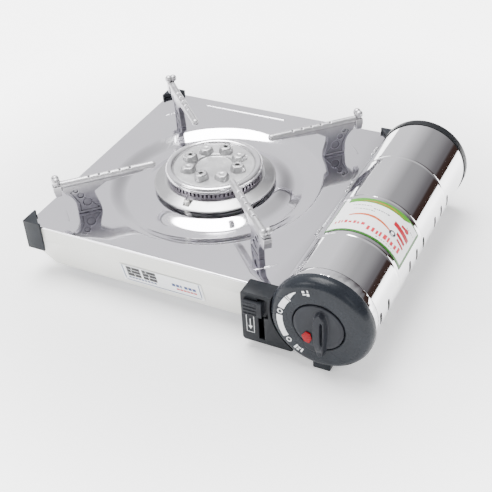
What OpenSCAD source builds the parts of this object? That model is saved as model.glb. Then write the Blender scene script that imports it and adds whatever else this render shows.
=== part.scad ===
// Portable cassette gas stove: a square burner box with a cartridge compartment along its right side.
// X runs to the right, towards the compartment. Y runs to the back. Z is up. The feet stand on Z = 0.
// The origin is the middle of the footprint, on the surface that the stove stands on.

/* [Burner box] */
// Burner axis to the left edge of the top plate
plate_left = 135; // [128:1:145]
// Burner axis to the right edge of the top plate
plate_right = 130; // [128:0.5:130]
// Burner axis to the front edge of the top plate
plate_front = 132; // [128:1:140]
// Burner axis to the back edge of the top plate
plate_back = 148; // [140:1:155]
// Height of the top plate above the table
plate_z = 57; // [55:0.5:58]
// Height of the box floor above the table
floor_z = 10; // [9:0.5:12]
// Height where the front and back walls start to lean in
front_band_z = 42; // [34:1:46]
// Lean of the front and back walls at the floor
front_lean = 7.6; // [4:0.2:10]
// Height where the left wall starts to lean in
side_band_z = 38; // [30:1:42]
// Lean of the left wall at the floor
side_lean = 20; // [10:1:24]
// Thickness of the sheet steel
sheet = 1.2; // [1:0.1:1.4]

/* [Drip dish] */
// Radius of the round dish pressed into the top plate
dish_r = 107; // [100:1:110]
// Depth of the dish
dish_depth = 6; // [4:0.5:7]

/* [Burner] */
// Radius of the drip ring around the burner
drip_r = 60.6; // [58:0.2:62]
// Outer radius of the burner ring
ring_r = 48.3; // [46:0.1:50]
// Height of the burner ring above the plate
ring_h = 21.5; // [20:0.5:23]
// Number of flame ports around the ring
ports = 72; // [60:4:80]
// Number of raised nubs on the burner head
nubs = 8; // [6:2:10]

/* [Pan supports] */
// Burner axis to the support's pivot
support_pivot_r = 127; // [125:0.5:128]
// Height of the bar's axis above the top plate
bar_h = 35; // [33:0.5:36]
// Radius of the bar
bar_r = 3.5; // [3:0.1:4]
// Bar length inside the pivot
bar_in = 66; // [60:1:66]
// Bar length outside the pivot
bar_out = 27; // [25:0.5:28]
// Thickness of the cast web
web_t = 6; // [5:0.5:7]

/* [Cartridge compartment] */
// Compartment axis, measured from the burner axis
bay_x = 175.5; // [175:0.5:177]
// Height of the compartment axis
bay_z = 50; // [49.5:0.5:51]
// Outer radius of the compartment
bay_r = 44; // [43.5:0.1:44]
// Front end of the cover, in front of the burner axis
cover_front = 131; // [128:1:134]
// Back end of the cover, behind the burner axis
cover_back = 114.6; // [110:0.2:116]
// Thickness of the black cap at the back
cap_t = 12; // [10:0.5:14]

/* [Controls] */
// Front face of the dial housing, in front of the burner axis
dial_face = 154.5; // [152:0.5:156]
// Radius of the dial housing
dial_r = 46; // [45:0.1:46.5]
// Radius of the knob
knob_r = 22.8; // [20:0.2:24]
// Height of the knob's grip in front of the dial housing
grip_h = 8; // [6:0.5:10]
// Vertical travel of the locking lever
lever_travel = 18; // [16:1:20]

/* [Hidden] */
$fn = 96;
eps = 0.05;

// Black corner guards
guard_t = 2.2;
guard_leg = 17;
back_right_leg = 10;
guard_top_z = plate_z + 4.5;
guard_low_z = 30;

// Middle of the footprint, measured from the burner axis
left_edge = plate_left + guard_t;
right_edge = bay_x + dial_r;
front_edge = dial_face + grip_h;
back_edge = plate_back + guard_t;
mid_x = (right_edge - left_edge) / 2;
mid_y = (back_edge - front_edge) / 2;

// Dish and burner heights
dish_z = plate_z - dish_depth;
hole_r = 51;
collar_r = 61;
bowl_in = 80;
bowl_out = dish_r - 19;
ring_z = plate_z + ring_h;
drip_z = plate_z + 4;
cone_h = 5;
head_z = ring_z - 2.2;
nub_r = 7.4;
nub_at = 26.2;
port_w = 1.9;
igniter_angle = -92;
wire_z = ring_z - 6.5;

// Pan supports
pivot_r = 3;
socket_h = 6;
recesses = [[1.2, 11.5, 4.6], [6.4, 20.2, 3.2], [10.6, 26, 2.2]];

// Compartment
skin = 1.2;
inner_r = bay_r - skin;
cover_low_z = 19;
cover_in_z = plate_z + 3.2;
gap = 0.4;
hinge_x = 131.2;
hinge_z = plate_z + 3.8;
hinge_r = 2.5;
pin_r = 1.2;
knuckle = 12;
hinge_at = [-52, 24, 96];
rib_at = [-81, -19, 51];
rib_half = 1.4;
rib_h = 0.9;
cradle_half = 17.5;
strap_z = bay_z - inner_r + 0.9;
lip_z = bay_z - 29.2;
cover_sweep = 82;
vent_groups = [-145, -52, 20];
vent_step = 19;
vent_angle = -2;
vent_r = 1.8;
vent_half = 3.45;
label_from = 20;
label_to = 128;
corner_cut_y = 53;
corner_cut_z = 83;

// Controls
rim_depth = 13.4;
spindle_r = 4;
lever_x0 = 102;
lever_x1 = 150;
lever_y0 = -150;
lever_y1 = -plate_front - 0.1;
lever_z0 = 9;
lever_z1 = 63;
wall = 2.4;
slot_x0 = 118;
slot_x1 = 123.4;
slot_z0 = 14;
slot_z1 = 59;
pad_x0 = 105;
pad_x1 = 119;
pad_z0 = 41;
pad_h = 15;

// Gas line
pipe_y = -92;
pipe_z = 36;
pipe_x = 118;
tube_angle = atan2(pipe_y, pipe_x);
tube_end = norm([pipe_x, pipe_y]);

// A cylinder lying along Y, from y0 to y0 + length
module rod_y(x, y0, z, r, length) {
    translate([x, y0 + length, z]) rotate([90, 0, 0]) cylinder(r = r, h = length);
}

// A tube lying along Y
module tube_y(x, y0, z, r, bore, length) {
    difference() {
        rod_y(x, y0, z, r, length);
        rod_y(x, y0 - 1, z, bore, length + 2);
    }
}

// A box given by two opposite corners
module block(low, high) {
    translate(low) cube(high - low);
}

// Everything is designed around the burner axis and then moved to the middle of the footprint
module place() {
    translate([-mid_x, -mid_y, 0]) children();
}

// The tapered outline of the burner box, shrunk by inset on every side
module box_outline(inset, z0, z1) {
    left = -plate_left + inset;
    right = plate_right - inset;
    front = -plate_front + inset;
    back = plate_back - inset;
    intersection() {
        translate([0, 200, 0]) rotate([90, 0, 0]) linear_extrude(400)
            polygon([[left + side_lean, floor_z], [right, floor_z], [right, plate_z], [left, plate_z],
                [left, side_band_z], [left + side_lean * 0.4, (side_band_z + floor_z) / 2]]);
        rotate([90, 0, 90]) translate([0, 0, -200]) linear_extrude(400)
            polygon([[front + front_lean, floor_z], [back - front_lean, floor_z], [back, front_band_z],
                [back, plate_z], [front, plate_z], [front, front_band_z]]);
        block([-200, -200, z0], [200, 200, z1]);
    }
}

module body_shell() {
    color([0.86, 0.86, 0.84]) place() difference() {
        box_outline(0, floor_z, plate_z - sheet);
        box_outline(sheet, floor_z - 1, plate_z);
        // opening in the right wall for the gas pipe
        translate([plate_right - 5, pipe_y, pipe_z]) rotate([0, 90, 0]) cylinder(r = 5, h = 10);
        // cooling slots in the back wall
        for (i = [-4 : 4]) block([i * 22 - 6, plate_back - 4, 44], [i * 22 + 6, plate_back + 1, 47]);
    }
}

module floor_pan() {
    color([0.62, 0.62, 0.64]) place() difference() {
        box_outline(sheet + 0.02, floor_z, floor_z + sheet);
        for (i = [-3 : 3]) block([i * 24 - 5, -60, 0], [i * 24 + 5, -40, 30]);
        for (i = [-3 : 3]) block([i * 24 - 5, 40, 0], [i * 24 + 5, 60, 30]);
    }
}

module top_plate() {
    z = plate_z;
    color([0.78, 0.77, 0.8]) place() difference() {
        union() {
            difference() {
                block([-plate_left, -plate_front, z - sheet], [plate_right, plate_back, z]);
                translate([0, 0, z - 5]) cylinder(r = dish_r - 1, h = 10);
            }
            rotate_extrude() polygon([[dish_r, z], [bowl_out, dish_z], [bowl_in, dish_z], [collar_r, z - 1],
                [hole_r, z - 1], [hole_r, z - 1 - sheet], [collar_r - 0.3, z - 1 - sheet],
                [bowl_in - 0.3, dish_z - sheet], [bowl_out + 0.3, dish_z - sheet],
                [dish_r + 0.3, z - sheet], [dish_r + 0.3, z]]);
            // pressed bead along the back
            translate([-34, plate_back - 13, z]) rotate([0, 90, 0]) translate([0, 0, -49])
                cylinder(r = 1.4, h = 98);
            // pressed stops outside each pan support
            for (a = [45 : 90 : 315]) rotate(a) translate([support_pivot_r + 23, -9, z])
                rotate([-90, 0, 0]) cylinder(r = 0.9, h = 18);
        }
        // opening for the igniter
        rotate(igniter_angle) translate([54, 0, 40]) cylinder(r = 4.2, h = 20);
        // holes for the pivots of the pan supports
        for (a = [45 : 90 : 315]) rotate(a) translate([support_pivot_r, 0, 40])
            cylinder(r = pivot_r + eps, h = 20);
    }
}

// A corner guard, built for the corner at the origin with the box towards +X and +Y
module corner_guard(leg) {
    color([0.13, 0.14, 0.15]) difference() {
        union() {
            block([-guard_t, -guard_t, guard_low_z], [leg, 0, guard_top_z]);
            block([-guard_t, -guard_t, guard_low_z], [0, leg, guard_top_z]);
            translate([0, 0, plate_z]) linear_extrude(guard_top_z - plate_z)
                polygon([[-guard_t, -guard_t], [leg, -guard_t], [-guard_t, leg]]);
        }
        block([-guard_t - 1, leg / 2, 40], [-guard_t + 0.9, leg + 1, 43]);
    }
}

module guard_front_left() {
    place() translate([-plate_left, -plate_front, 0]) corner_guard(guard_leg);
}

module guard_back_left() {
    place() translate([-plate_left, plate_back, 0]) mirror([0, 1, 0]) corner_guard(guard_leg);
}

module guard_back_right() {
    place() translate([plate_right, plate_back, 0]) mirror([1, 0, 0]) mirror([0, 1, 0])
        corner_guard(back_right_leg);
}

module feet() {
    color([0.08, 0.08, 0.09]) place()
        for (p = [[-92, -104], [-92, 118], [100, -104], [100, 118]])
            translate([p[0], p[1], 0]) rotate_extrude() polygon([[0, 0], [6.5, 0], [7.5, 1.5], [7.5, floor_z],
                [0, floor_z]]);
}

module front_plate() {
    lean = atan2(front_lean, front_band_z - floor_z);
    color([0.95, 0.95, 0.96]) place()
        translate([9.5, -plate_front + front_lean, floor_z]) rotate([lean, 0, 0])
        block([-43, -0.7, 6.5], [43, -0.02, 30]);
}

// The part of the compartment's shell between two ends
module bay_shell(y0, y1, r_out) {
    tube_y(bay_x, y0, bay_z, r_out, inner_r, y1 - y0);
}

// The cover's side of the cut between cover and trough
module above_cut(d) {
    block([bay_x - 0.01, -200, cover_low_z + d], [bay_x + 60, 200, 120]);
    block([bay_x - 60, -200, cover_in_z + d], [bay_x, 200, 120]);
}

// The slanted piece that the collar keeps at the cover's front inner corner
module corner_wedge(d) {
    translate([bay_x - 60, 0, 0]) rotate([90, 0, 90]) linear_extrude(60)
        polygon([[-cover_front - 3, cover_in_z - 3 - d], [-cover_front - 3, corner_cut_z + 3 + d],
            [-cover_front, corner_cut_z + d], [-cover_front + corner_cut_y + d, cover_in_z],
            [-cover_front + corner_cut_y + d, cover_in_z - 3 - d]]);
}

module bay_trough() {
    color([0.8, 0.8, 0.8]) place() difference() {
        union() {
            difference() {
                bay_shell(-cover_front - gap, cover_back + gap, bay_r);
                block([bay_x, -200, cover_low_z - gap], [bay_x + 60, 200, 120]);
                block([bay_x - 60, -200, plate_z + 0.2], [bay_x + 1, 200, 120]);
            }
            // knuckles of the hinge that belong to the trough
            for (y = hinge_at) {
                rod_y(hinge_x, y + knuckle / 2 + 0.2, hinge_z, hinge_r, knuckle / 2);
                block([hinge_x, y + knuckle / 2 + 0.2, plate_z - 8],
                    [hinge_x + 1.6, y + knuckle + 0.2, hinge_z]);
            }
        }
        rod_y(hinge_x, -80, hinge_z, pin_r, 220);
        // opening for the gas pipe
        translate([bay_x - 60, pipe_y, pipe_z]) rotate([0, 90, 0]) cylinder(r = 5, h = 40);
    }
}

module front_collar() {
    color([0.84, 0.84, 0.84]) place() union() {
        bay_shell(-dial_face + rim_depth, -cover_front - gap, bay_r);
        intersection() {
            bay_shell(-cover_front - gap - 1, 0, bay_r);
            above_cut(0);
            corner_wedge(-gap);
        }
    }
}

module rear_cap() {
    y0 = cover_back + gap;
    color([0.1, 0.1, 0.11]) place() union() {
        translate([bay_x, y0, bay_z]) rotate([-90, 0, 0]) rotate_extrude() polygon([[0, cap_t - 2.4],
            [bay_r - 6, cap_t - 2.4], [bay_r - 4, 0], [bay_r + 0.7, 0], [bay_r + 0.7, cap_t - 4],
            [bay_r - 3, cap_t], [0, cap_t]]);
        // foot under the cap
        block([bay_x - 10, y0 + 1, 0], [bay_x + 10, y0 + 7, 7]);
    }
}

module dial_housing() {
    y0 = -dial_face;
    color([0.17, 0.18, 0.2]) place() difference() {
        union() {
            translate([bay_x, y0, bay_z]) rotate([-90, 0, 0]) rotate_extrude() polygon([[0, 0],
                [dial_r - 10, 0], [dial_r - 5, 0.9], [dial_r - 1.6, 3.4], [dial_r, 7.5], [dial_r, rim_depth],
                [inner_r - 0.1, rim_depth], [inner_r - 0.1, 16], [inner_r - 2.5, 16], [inner_r - 2.5, 10],
                [knob_r + 4, 10], [knob_r + 4, 12], [0, 12]]);
            // foot under the housing
            block([bay_x - 7, y0 + 3, 0], [bay_x + 9, y0 + 11, 8]);
        }
        // recess for the knob and bore for the spindle
        rod_y(bay_x, y0 - 1, bay_z, knob_r + 0.4, 6);
        rod_y(bay_x, y0 - 1, bay_z, spindle_r + 1, 30);
        // notch at the lower right of the rim
        translate([bay_x, y0, bay_z]) rotate([0, 52, 0]) block([dial_r - 4, -1, -3], [dial_r + 2, 5, 3]);
    }
}

module lever_housing() {
    color([0.12, 0.13, 0.14]) place() difference() {
        translate([0, lever_y1, 0]) rotate([90, 0, 0]) linear_extrude(lever_y1 - lever_y0)
            offset(r = 3, $fn = 32) offset(delta = -3)
                square_between([lever_x0, lever_z0], [lever_x1, lever_z1]);
        // inside of the housing
        block([lever_x0 + wall, lever_y0 + wall, lever_z0 + wall],
            [slot_x1 + 5, lever_y1 - wall, lever_z1 - wall]);
        // slot for the lever's stem, wider beside the pad
        block([slot_x0, lever_y0 - 1, slot_z0], [slot_x1, lever_y0 + 3, slot_z1]);
        block([slot_x0, lever_y0 - 1, slot_z1 - 20], [slot_x1 + 4, lever_y0 + 3, slot_z1]);
        // clearance round the dial housing and the collar
        rod_y(bay_x, -170, bay_z, dial_r + 0.1, 60);
    }
}

module square_between(low, high) {
    translate(low) square(high - low);
}

module cartridge_cradle() {
    z0 = strap_z + 3.2;
    color([0.55, 0.56, 0.58]) place() difference() {
        union() {
            block([bay_x - cradle_half, -70, z0], [bay_x + cradle_half, 100, z0 + sheet]);
            for (s = [-1, 1]) translate([bay_x + s * (cradle_half - 0.75), 0, 0])
                block([-0.75, -70, z0], [0.75, 100, lip_z]);
        }
        for (y = [-50 : 30 : 90]) translate([bay_x, y, 0]) cylinder(r = 7, h = 30);
    }
}

module guide_plate() {
    color([0.66, 0.67, 0.69]) place() difference() {
        intersection() {
            rod_y(bay_x, -78, bay_z, inner_r - 0.1, 1.5);
            // stays inside the path of the cover's lower edge
            rod_y(hinge_x, -80, hinge_z, cover_sweep, 5);
        }
        rod_y(bay_x, -80, bay_z, 15, 5);
        block([bay_x - 7, -80, 0], [bay_x + 7, -70, strap_z + 2.6]);
        block([bay_x - 60, -90, cover_in_z - 6], [bay_x + 60, -60, 120]);
        translate([bay_x - 60, pipe_y, pipe_z]) rotate([0, 90, 0]) cylinder(r = 5, h = 40);
    }
}

module regulator() {
    color([0.72, 0.71, 0.68]) place() difference() {
        union() {
            rod_y(bay_x, -132, bay_z, 13, 30);
            rod_y(bay_x, -102, bay_z, 17, 18);
            rod_y(bay_x, -84, bay_z, 10, 12);
            rod_y(bay_x, -140, bay_z, 7, 8);
            translate([bay_x - 26, pipe_y, pipe_z]) rotate([0, 90, 0]) cylinder(r = 6, h = 20);
            block([bay_x - 26, -129, bay_z - 30], [bay_x + 26, -126, bay_z + 26]);
        }
        rod_y(bay_x, -141, bay_z, spindle_r + eps, 22);
        rod_y(bay_x, -84, bay_z, 5.2, 20);
        translate([bay_x - 30, pipe_y, pipe_z]) rotate([0, 90, 0]) cylinder(r = 3, h = 20);
    }
}

module gas_pipe() {
    color([0.75, 0.62, 0.35]) place() union() {
        translate([pipe_x, pipe_y, pipe_z]) rotate([0, 90, 0]) cylinder(r = 3, h = bay_x - 20 - pipe_x);
        // elbow fitting
        translate([pipe_x, pipe_y, pipe_z - 4.5]) cylinder(r = 4.5, h = 9);
        rotate(tube_angle) translate([tube_end - 26, 0, pipe_z]) rotate([0, 90, 0]) cylinder(r = 3, h = 26);
    }
}

module gas_jet() {
    color([0.8, 0.65, 0.3]) place()
        rotate(tube_angle) translate([tube_end - 26, 0, pipe_z]) rotate([0, -90, 0])
        difference() {
            union() {
                cylinder(r = 4.6, h = 7, $fn = 6);
                translate([0, 0, 7]) cylinder(r = 2.4, h = 5);
            }
            translate([0, 0, -1]) cylinder(r = 0.6, h = 14);
        }
}

module mixing_tube() {
    color([0.6, 0.6, 0.61]) place() rotate(tube_angle) translate([36.4, 0, pipe_z]) rotate([0, 90, 0])
        rotate_extrude() polygon([[6.5, 0], [9, 0], [8, 40], [7.6, 66], [11, 76], [11, 82], [9.4, 82],
            [9.4, 76], [6, 66]]);
}

module burner_base() {
    color([0.58, 0.58, 0.6]) place() difference() {
        rotate_extrude() polygon([[0, 24], [30, 24], [36, 30], [36, 44], [40, 50], [hole_r - 1, plate_z],
            [hole_r + 5, plate_z], [drip_r - 6, drip_z], [hole_r - 7, drip_z], [hole_r - 7, plate_z + 1],
            [38, 52], [33.5, 46], [33.5, 31], [29, 26.5], [0, 26.5]]);
        rotate(tube_angle) translate([20, 0, pipe_z]) rotate([0, 90, 0]) cylinder(r = 6.5, h = 40);
        rotate(igniter_angle) translate([54, 0, 40]) cylinder(r = 3.6, h = 40);
    }
}

module drip_ring() {
    z = drip_z;
    color([0.8, 0.79, 0.82]) place() difference() {
        rotate_extrude() polygon([[ring_r - 3.6, z], [drip_r - 5.6, z], [drip_r - 2, z - 1.2],
            [drip_r, z - 1], [drip_r, z + 0.6], [drip_r - 1.4, z + 0.8], [ring_r + 1.4, z + cone_h],
            [ring_r - 3.6, z + cone_h]]);
        rotate(igniter_angle) block([ring_r + 1.6, -4.6, 40], [drip_r - 3.2, 4.6, 80]);
    }
}

module port_ring() {
    z0 = drip_z + cone_h;
    z1 = ring_z - 6;
    color([0.45, 0.43, 0.46]) place() difference() {
        rotate_extrude() polygon([[ring_r - 6, z0], [ring_r - 1.2, z0], [ring_r - 1.2, z1],
            [ring_r - 6, z1]]);
        for (i = [0 : ports - 1]) rotate(i * 360 / ports)
            block([ring_r - 10, -port_w / 2, z1 - 4.6], [ring_r + 2, port_w / 2, z1 - 0.6]);
    }
}

module crown_ring() {
    z0 = ring_z - 6;
    color([0.74, 0.73, 0.75]) place() rotate_extrude() polygon([[ring_r - 7.5, z0 + 0.6], [ring_r - 6, z0],
        [ring_r, z0], [ring_r, z0 + 2.6], [ring_r - 1, z0 + 4.8], [ring_r - 2.8, ring_z],
        [ring_r - 5.4, ring_z], [ring_r - 7.5, ring_z - 1.2]]);
}

module burner_head() {
    z = head_z;
    head_r = ring_r - 7.7;
    color([0.55, 0.55, 0.57]) place() difference() {
        union() {
            rotate_extrude() polygon([[0, z - 6], [head_r - 3, z - 6], [head_r, z - 2], [head_r, z],
                [19.4, z], [18.4, z - 1.8], [0, z - 1.8]]);
            for (i = [0 : nubs - 1]) rotate(i * 360 / nubs) translate([nub_at, 0, z]) nub(i % 2);
            cylinder(r = 5, h = z - 1);
        }
        for (i = [0 : 2 : nubs - 1]) rotate(i * 360 / nubs) translate([nub_at, 0, z - 2])
            cylinder(r = 2.4, h = 12);
        cylinder(r = 6, h = z - 14);
    }
}

// A rounded nub: the even ones are taller and drilled, the odd ones are plain
module nub(odd) {
    h = odd == 1 ? 5.2 : 6.4;
    rotate_extrude() polygon([[0, -1], [nub_r, -1], [nub_r - 0.3, h - 3], [nub_r - 0.9, h - 0.8],
        [nub_r - 2, h], [0, h]]);
}

module electrode() {
    color([0.95, 0.94, 0.9]) place() rotate(igniter_angle) translate([54, 0, 0]) rotate_extrude()
        polygon([[0, 38], [3.4, 38], [3.4, plate_z], [2.2, plate_z + 2], [2.2, wire_z - 6],
            [1.4, wire_z - 4.5], [0, wire_z - 4.5]]);
}

module electrode_wire() {
    color([0.4, 0.4, 0.42]) place() rotate(igniter_angle) union() {
        translate([54, 0, wire_z - 4.5]) cylinder(r = 0.7, h = 4.5);
        translate([54, 0, wire_z]) sphere(r = 0.72);
        translate([49.4, 0, wire_z]) rotate([0, 90, 0]) cylinder(r = 0.7, h = 4.6);
    }
}

module piezo_igniter() {
    color([0.12, 0.12, 0.13]) place() union() {
        rod_y(bay_x - 15, -126, bay_z + 20, 5.5, 34);
        rod_y(bay_x - 15, -92, bay_z + 20, 2.2, 6);
        block([bay_x - 22, -124.5, bay_z + 17], [bay_x - 8, -112, bay_z + 23]);
    }
}

module hinge_pin() {
    color([0.5, 0.5, 0.52]) place() rod_y(hinge_x, hinge_at[0] - 1, hinge_z, pin_r - eps,
        hinge_at[2] - hinge_at[0] + knuckle + 3);
}

module support_sockets() {
    color([0.7, 0.7, 0.72]) place() for (a = [45 : 90 : 315]) rotate(a)
        translate([support_pivot_r, 0, plate_z - sheet - socket_h]) difference() {
            cylinder(r = 6, h = socket_h);
            translate([0, 0, -1]) cylinder(r = pivot_r + eps, h = socket_h + 2);
        }
}

module shell_screws() {
    color([0.6, 0.6, 0.62]) place()
        for (p = [[-70, 0], [70, 0], [0, 90], [0, -90]]) translate([p[0], p[1], floor_z - 1.8]) difference() {
            cylinder(r = 3.4, h = 1.8);
            block([-0.5, -4, -1], [0.5, 4, 0.6]);
        }
}

module cover_shell() {
    color([0.86, 0.86, 0.87]) place() difference() {
        union() {
            intersection() {
                bay_shell(-cover_front, cover_back, bay_r);
                above_cut(0);
            }
            // pressed ribs over the top of the cover
            for (y = rib_at) intersection() {
                translate([bay_x, y, bay_z]) rotate([90, 0, 0]) rotate_extrude()
                    polygon([[bay_r - 0.6, -rib_half], [bay_r, -rib_half], [bay_r + rib_h, -0.6],
                        [bay_r + rib_h, 0.6], [bay_r, rib_half], [bay_r - 0.6, rib_half]]);
                block([bay_x - 34, -150, bay_z + 1], [bay_x + 60, 150, 120]);
            }
            // knuckles of the hinge that belong to the cover
            for (y = hinge_at) rod_y(hinge_x, y, hinge_z, hinge_r, knuckle / 2 - 0.2);
        }
        rod_y(bay_x, -200, bay_z, inner_r, 400);
        corner_wedge(0);
        rod_y(hinge_x, -80, hinge_z, pin_r, 220);
        // vent slots low on the outer side, in three groups
        for (group = vent_groups) for (i = [0 : 2]) translate([bay_x, group + i * vent_step, bay_z])
            rotate([0, vent_angle, 0]) vent();
        // room for the trough's knuckles
        for (y = hinge_at) block([hinge_x - 5, y + knuckle / 2, hinge_z - 5],
            [hinge_x + 2.9, y + knuckle + 0.6, hinge_z + 3]);
    }
}

// A tall slot with round ends through the cover's outer side
module vent() {
    for (end = [-vent_half, vent_half]) translate([inner_r - 5, 0, end]) rotate([0, 90, 0])
        cylinder(r = vent_r, h = 12);
    block([inner_r - 5, -vent_r, -vent_half], [inner_r + 7, vent_r, vent_half]);
}

module cover_label() {
    color([0.93, 0.95, 0.92]) place() intersection() {
        tube_y(bay_x, -76, bay_z, bay_r + 0.35, bay_r + 0.02, 52);
        translate([bay_x, 0, bay_z]) rotate([90, 0, 0]) linear_extrude(200, center = true)
            polygon([[0, 0], [60 * cos(label_from), 60 * sin(label_from)], [60, 70], [-60, 70],
                [60 * cos(label_to), 60 * sin(label_to)]]);
    }
}

module knob() {
    y0 = -dial_face;
    color([0.2, 0.21, 0.23]) place() difference() {
        union() {
            rod_y(bay_x, y0 - 0.4, bay_z, knob_r, 4.6);
            // grip across the knob, longer at the lower end
            translate([bay_x + 2.5, y0 - 0.4, bay_z]) hull() {
                block([-3, -grip_h + 0.4, -24], [3, 0, 15]);
                block([-6, -0.4, -31], [6, 0, 19]);
            }
            // tail that carries the pointer
            translate([bay_x, y0 - 0.4, bay_z]) rotate([0, 38, 0]) block([-7, -1.6, -24], [7, 0, 0]);
        }
        rod_y(bay_x, y0, bay_z, spindle_r, 20);
        // seat of the pointer
        translate([bay_x, y0 - 3, bay_z]) rotate([0, 38, 0]) block([-4, -2, -20], [4, 2.4, -11]);
    }
}

module knob_pointer() {
    y0 = -dial_face;
    color([0.85, 0.05, 0.1]) place() translate([bay_x, y0 - 3, bay_z]) rotate([0, 38, 0])
        block([-4, 0.6, -20], [4, 2.4, -11]);
}

module valve_spindle() {
    color([0.75, 0.65, 0.4]) place() rod_y(bay_x, -dial_face, bay_z, spindle_r, 30);
}

module lever() {
    color([0.1, 0.11, 0.12]) place() union() {
        // finger pad in front of the housing, with ridges
        block([pad_x0, lever_y0 - 3.6, pad_z0], [pad_x1, lever_y0 - 0.3, pad_z0 + pad_h]);
        for (i = [0 : 3]) block([pad_x0 + 1, lever_y0 - 4.4, pad_z0 + 1 + i * 3.6],
            [pad_x1 - 1, lever_y0 - 3.5, pad_z0 + 2.6 + i * 3.6]);
        // stem through the slot
        block([slot_x0 + 0.4, lever_y0 - 3.6, pad_z0], [slot_x1 - 0.4, lever_y0 + 7, pad_z0 + pad_h]);
        // runner inside the housing
        block([lever_x0 + wall + 0.5, lever_y0 + 3.4, pad_z0 - 4],
            [slot_x1 + 4.4, lever_y0 + 7, pad_z0 + pad_h + 1]);
    }
}

module cartridge_pusher() {
    z = strap_z;
    color([0.6, 0.61, 0.63]) place() union() {
        block([bay_x - 6, -122, z], [bay_x + 6, 111, z + 2]);
        block([bay_x - 6, 109, z], [bay_x + 6, 111, 40]);
        rod_y(bay_x, 109, bay_z, 20, 2);
        block([bay_x - 6, -122, z], [bay_x + 6, -120, z + 6]);
    }
}

// A cast pan support with its pivot at the origin and its bar pointing out along X
module pan_support() {
    panel_t = 0.7;
    color([0.55, 0.54, 0.57]) difference() {
        union() {
            // cast web in the plane of the bar
            translate([0, web_t / 2, 0]) rotate([90, 0, 0]) linear_extrude(web_t) support_web();
            // pivot through the plate, with a peened end under the socket
            translate([0, 0, -sheet - socket_h - 1.6]) cylinder(r = pivot_r, h = sheet + socket_h + 4);
            translate([0, 0, -sheet - socket_h - 1.8]) cylinder(r = pivot_r + 1.5, h = 1.5);
            // bar with a rounded inner tip
            translate([-bar_in, 0, bar_h]) rotate([0, 90, 0])
                cylinder(r = bar_r, h = bar_in + bar_out, $fn = 40);
            translate([-bar_in, 0, bar_h]) sphere(r = bar_r, $fn = 40);
            // head at the outer end: a square block under the bar and two knobs above it
            translate([bar_out, 4, bar_h]) rotate([90, 0, 0]) linear_extrude(8)
                polygon([[-2.8, -10.5], [2.6, -10.5], [4, -4], [4, 0.5], [-4, 0.5], [-4, -4]]);
            translate([bar_out - 2.6, -3, bar_h]) cube([5.2, 6, 4]);
            for (s = [-1, 1]) translate([bar_out, s * 2.4, bar_h + 6]) sphere(r = 3.9, $fn = 40);
        }
        // notches that stop a pan from sliding
        for (i = [0 : 4]) translate([-44 + i * 10, 0, bar_h + bar_r + 0.4]) rotate([0, 45, 0])
            cube([2.6, 12, 2.6], center = true);
        for (s = [-1, 1]) {
            // sunk panel in each face of the web
            translate([0, s * (web_t / 2 - panel_t / 2) + panel_t / 2, 0]) rotate([90, 0, 0])
                linear_extrude(panel_t) support_panel();
            // round recesses in the panel, smaller towards the top
            for (h = recesses) translate([h[0], s * (web_t / 2 + 1), h[1]]) rotate([90, 0, 0])
                cylinder(r = h[2], h = 5, center = true, $fn = 40);
        }
    }
}

// Outline of the web: it leans out towards the head and runs in under the bar as a gusset
module support_web() {
    difference() {
        polygon([[-11.6, 0.3], [11.6, 0.3], [11.9, 8], [24, bar_h - 3], [24, bar_h], [-56, bar_h],
            [-56, bar_h - bar_r], [-18.5, bar_h - 6], [-7.2, bar_h - 13], [-8, 15], [-11, 5]]);
        // hollow of the outer edge
        translate([bar_h - 3.2, 8.6]) circle(r = 20);
    }
}

// Outline of the sunk panel
module support_panel() {
    intersection() {
        polygon([[-8, 2.6], [9, 2.6], [9, 12], [18, bar_h - 6], [14, bar_h - 5.4], [-10, 3.4]]);
        translate([-1, 1]) circle(r = bar_h - 5);
        translate([12, 10]) circle(r = 22);
    }
}

module support_at(angle) {
    place() rotate(angle) translate([support_pivot_r, 0, plate_z]) pan_support();
}

module support_front_left() {
    support_at(225);
}

module support_front_right() {
    support_at(315);
}

module support_back_left() {
    support_at(135);
}

module support_back_right() {
    support_at(45);
}

body_shell();
floor_pan();
top_plate();
guard_front_left();
guard_back_left();
guard_back_right();
feet();
front_plate();
bay_trough();
front_collar();
rear_cap();
dial_housing();
lever_housing();
cartridge_cradle();
guide_plate();
regulator();
gas_pipe();
gas_jet();
mixing_tube();
burner_base();
drip_ring();
port_ring();
crown_ring();
burner_head();
electrode();
electrode_wire();
piezo_igniter();
hinge_pin();
support_sockets();
shell_screws();
cover_shell();
cover_label();
knob();
knob_pointer();
valve_spindle();
lever();
cartridge_pusher();
support_front_left();
support_front_right();
support_back_left();
support_back_right();
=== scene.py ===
import math
import random
import bpy
import bmesh
from mathutils import Matrix, Vector


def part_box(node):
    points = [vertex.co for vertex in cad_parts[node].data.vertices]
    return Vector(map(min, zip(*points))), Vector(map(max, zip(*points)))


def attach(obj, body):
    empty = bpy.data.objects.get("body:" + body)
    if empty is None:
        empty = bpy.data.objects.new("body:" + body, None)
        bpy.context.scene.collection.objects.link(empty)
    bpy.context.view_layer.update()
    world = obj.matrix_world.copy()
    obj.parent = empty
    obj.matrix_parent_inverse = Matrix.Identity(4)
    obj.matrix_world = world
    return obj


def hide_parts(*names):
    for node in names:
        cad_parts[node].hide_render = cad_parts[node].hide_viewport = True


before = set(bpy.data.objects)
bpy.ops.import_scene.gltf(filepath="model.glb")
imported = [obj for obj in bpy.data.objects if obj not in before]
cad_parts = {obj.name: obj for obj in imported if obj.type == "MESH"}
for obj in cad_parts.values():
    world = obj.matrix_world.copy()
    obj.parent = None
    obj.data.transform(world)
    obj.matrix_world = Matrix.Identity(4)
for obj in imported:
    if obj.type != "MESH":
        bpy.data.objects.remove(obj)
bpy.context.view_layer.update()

MM = 0.001


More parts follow.
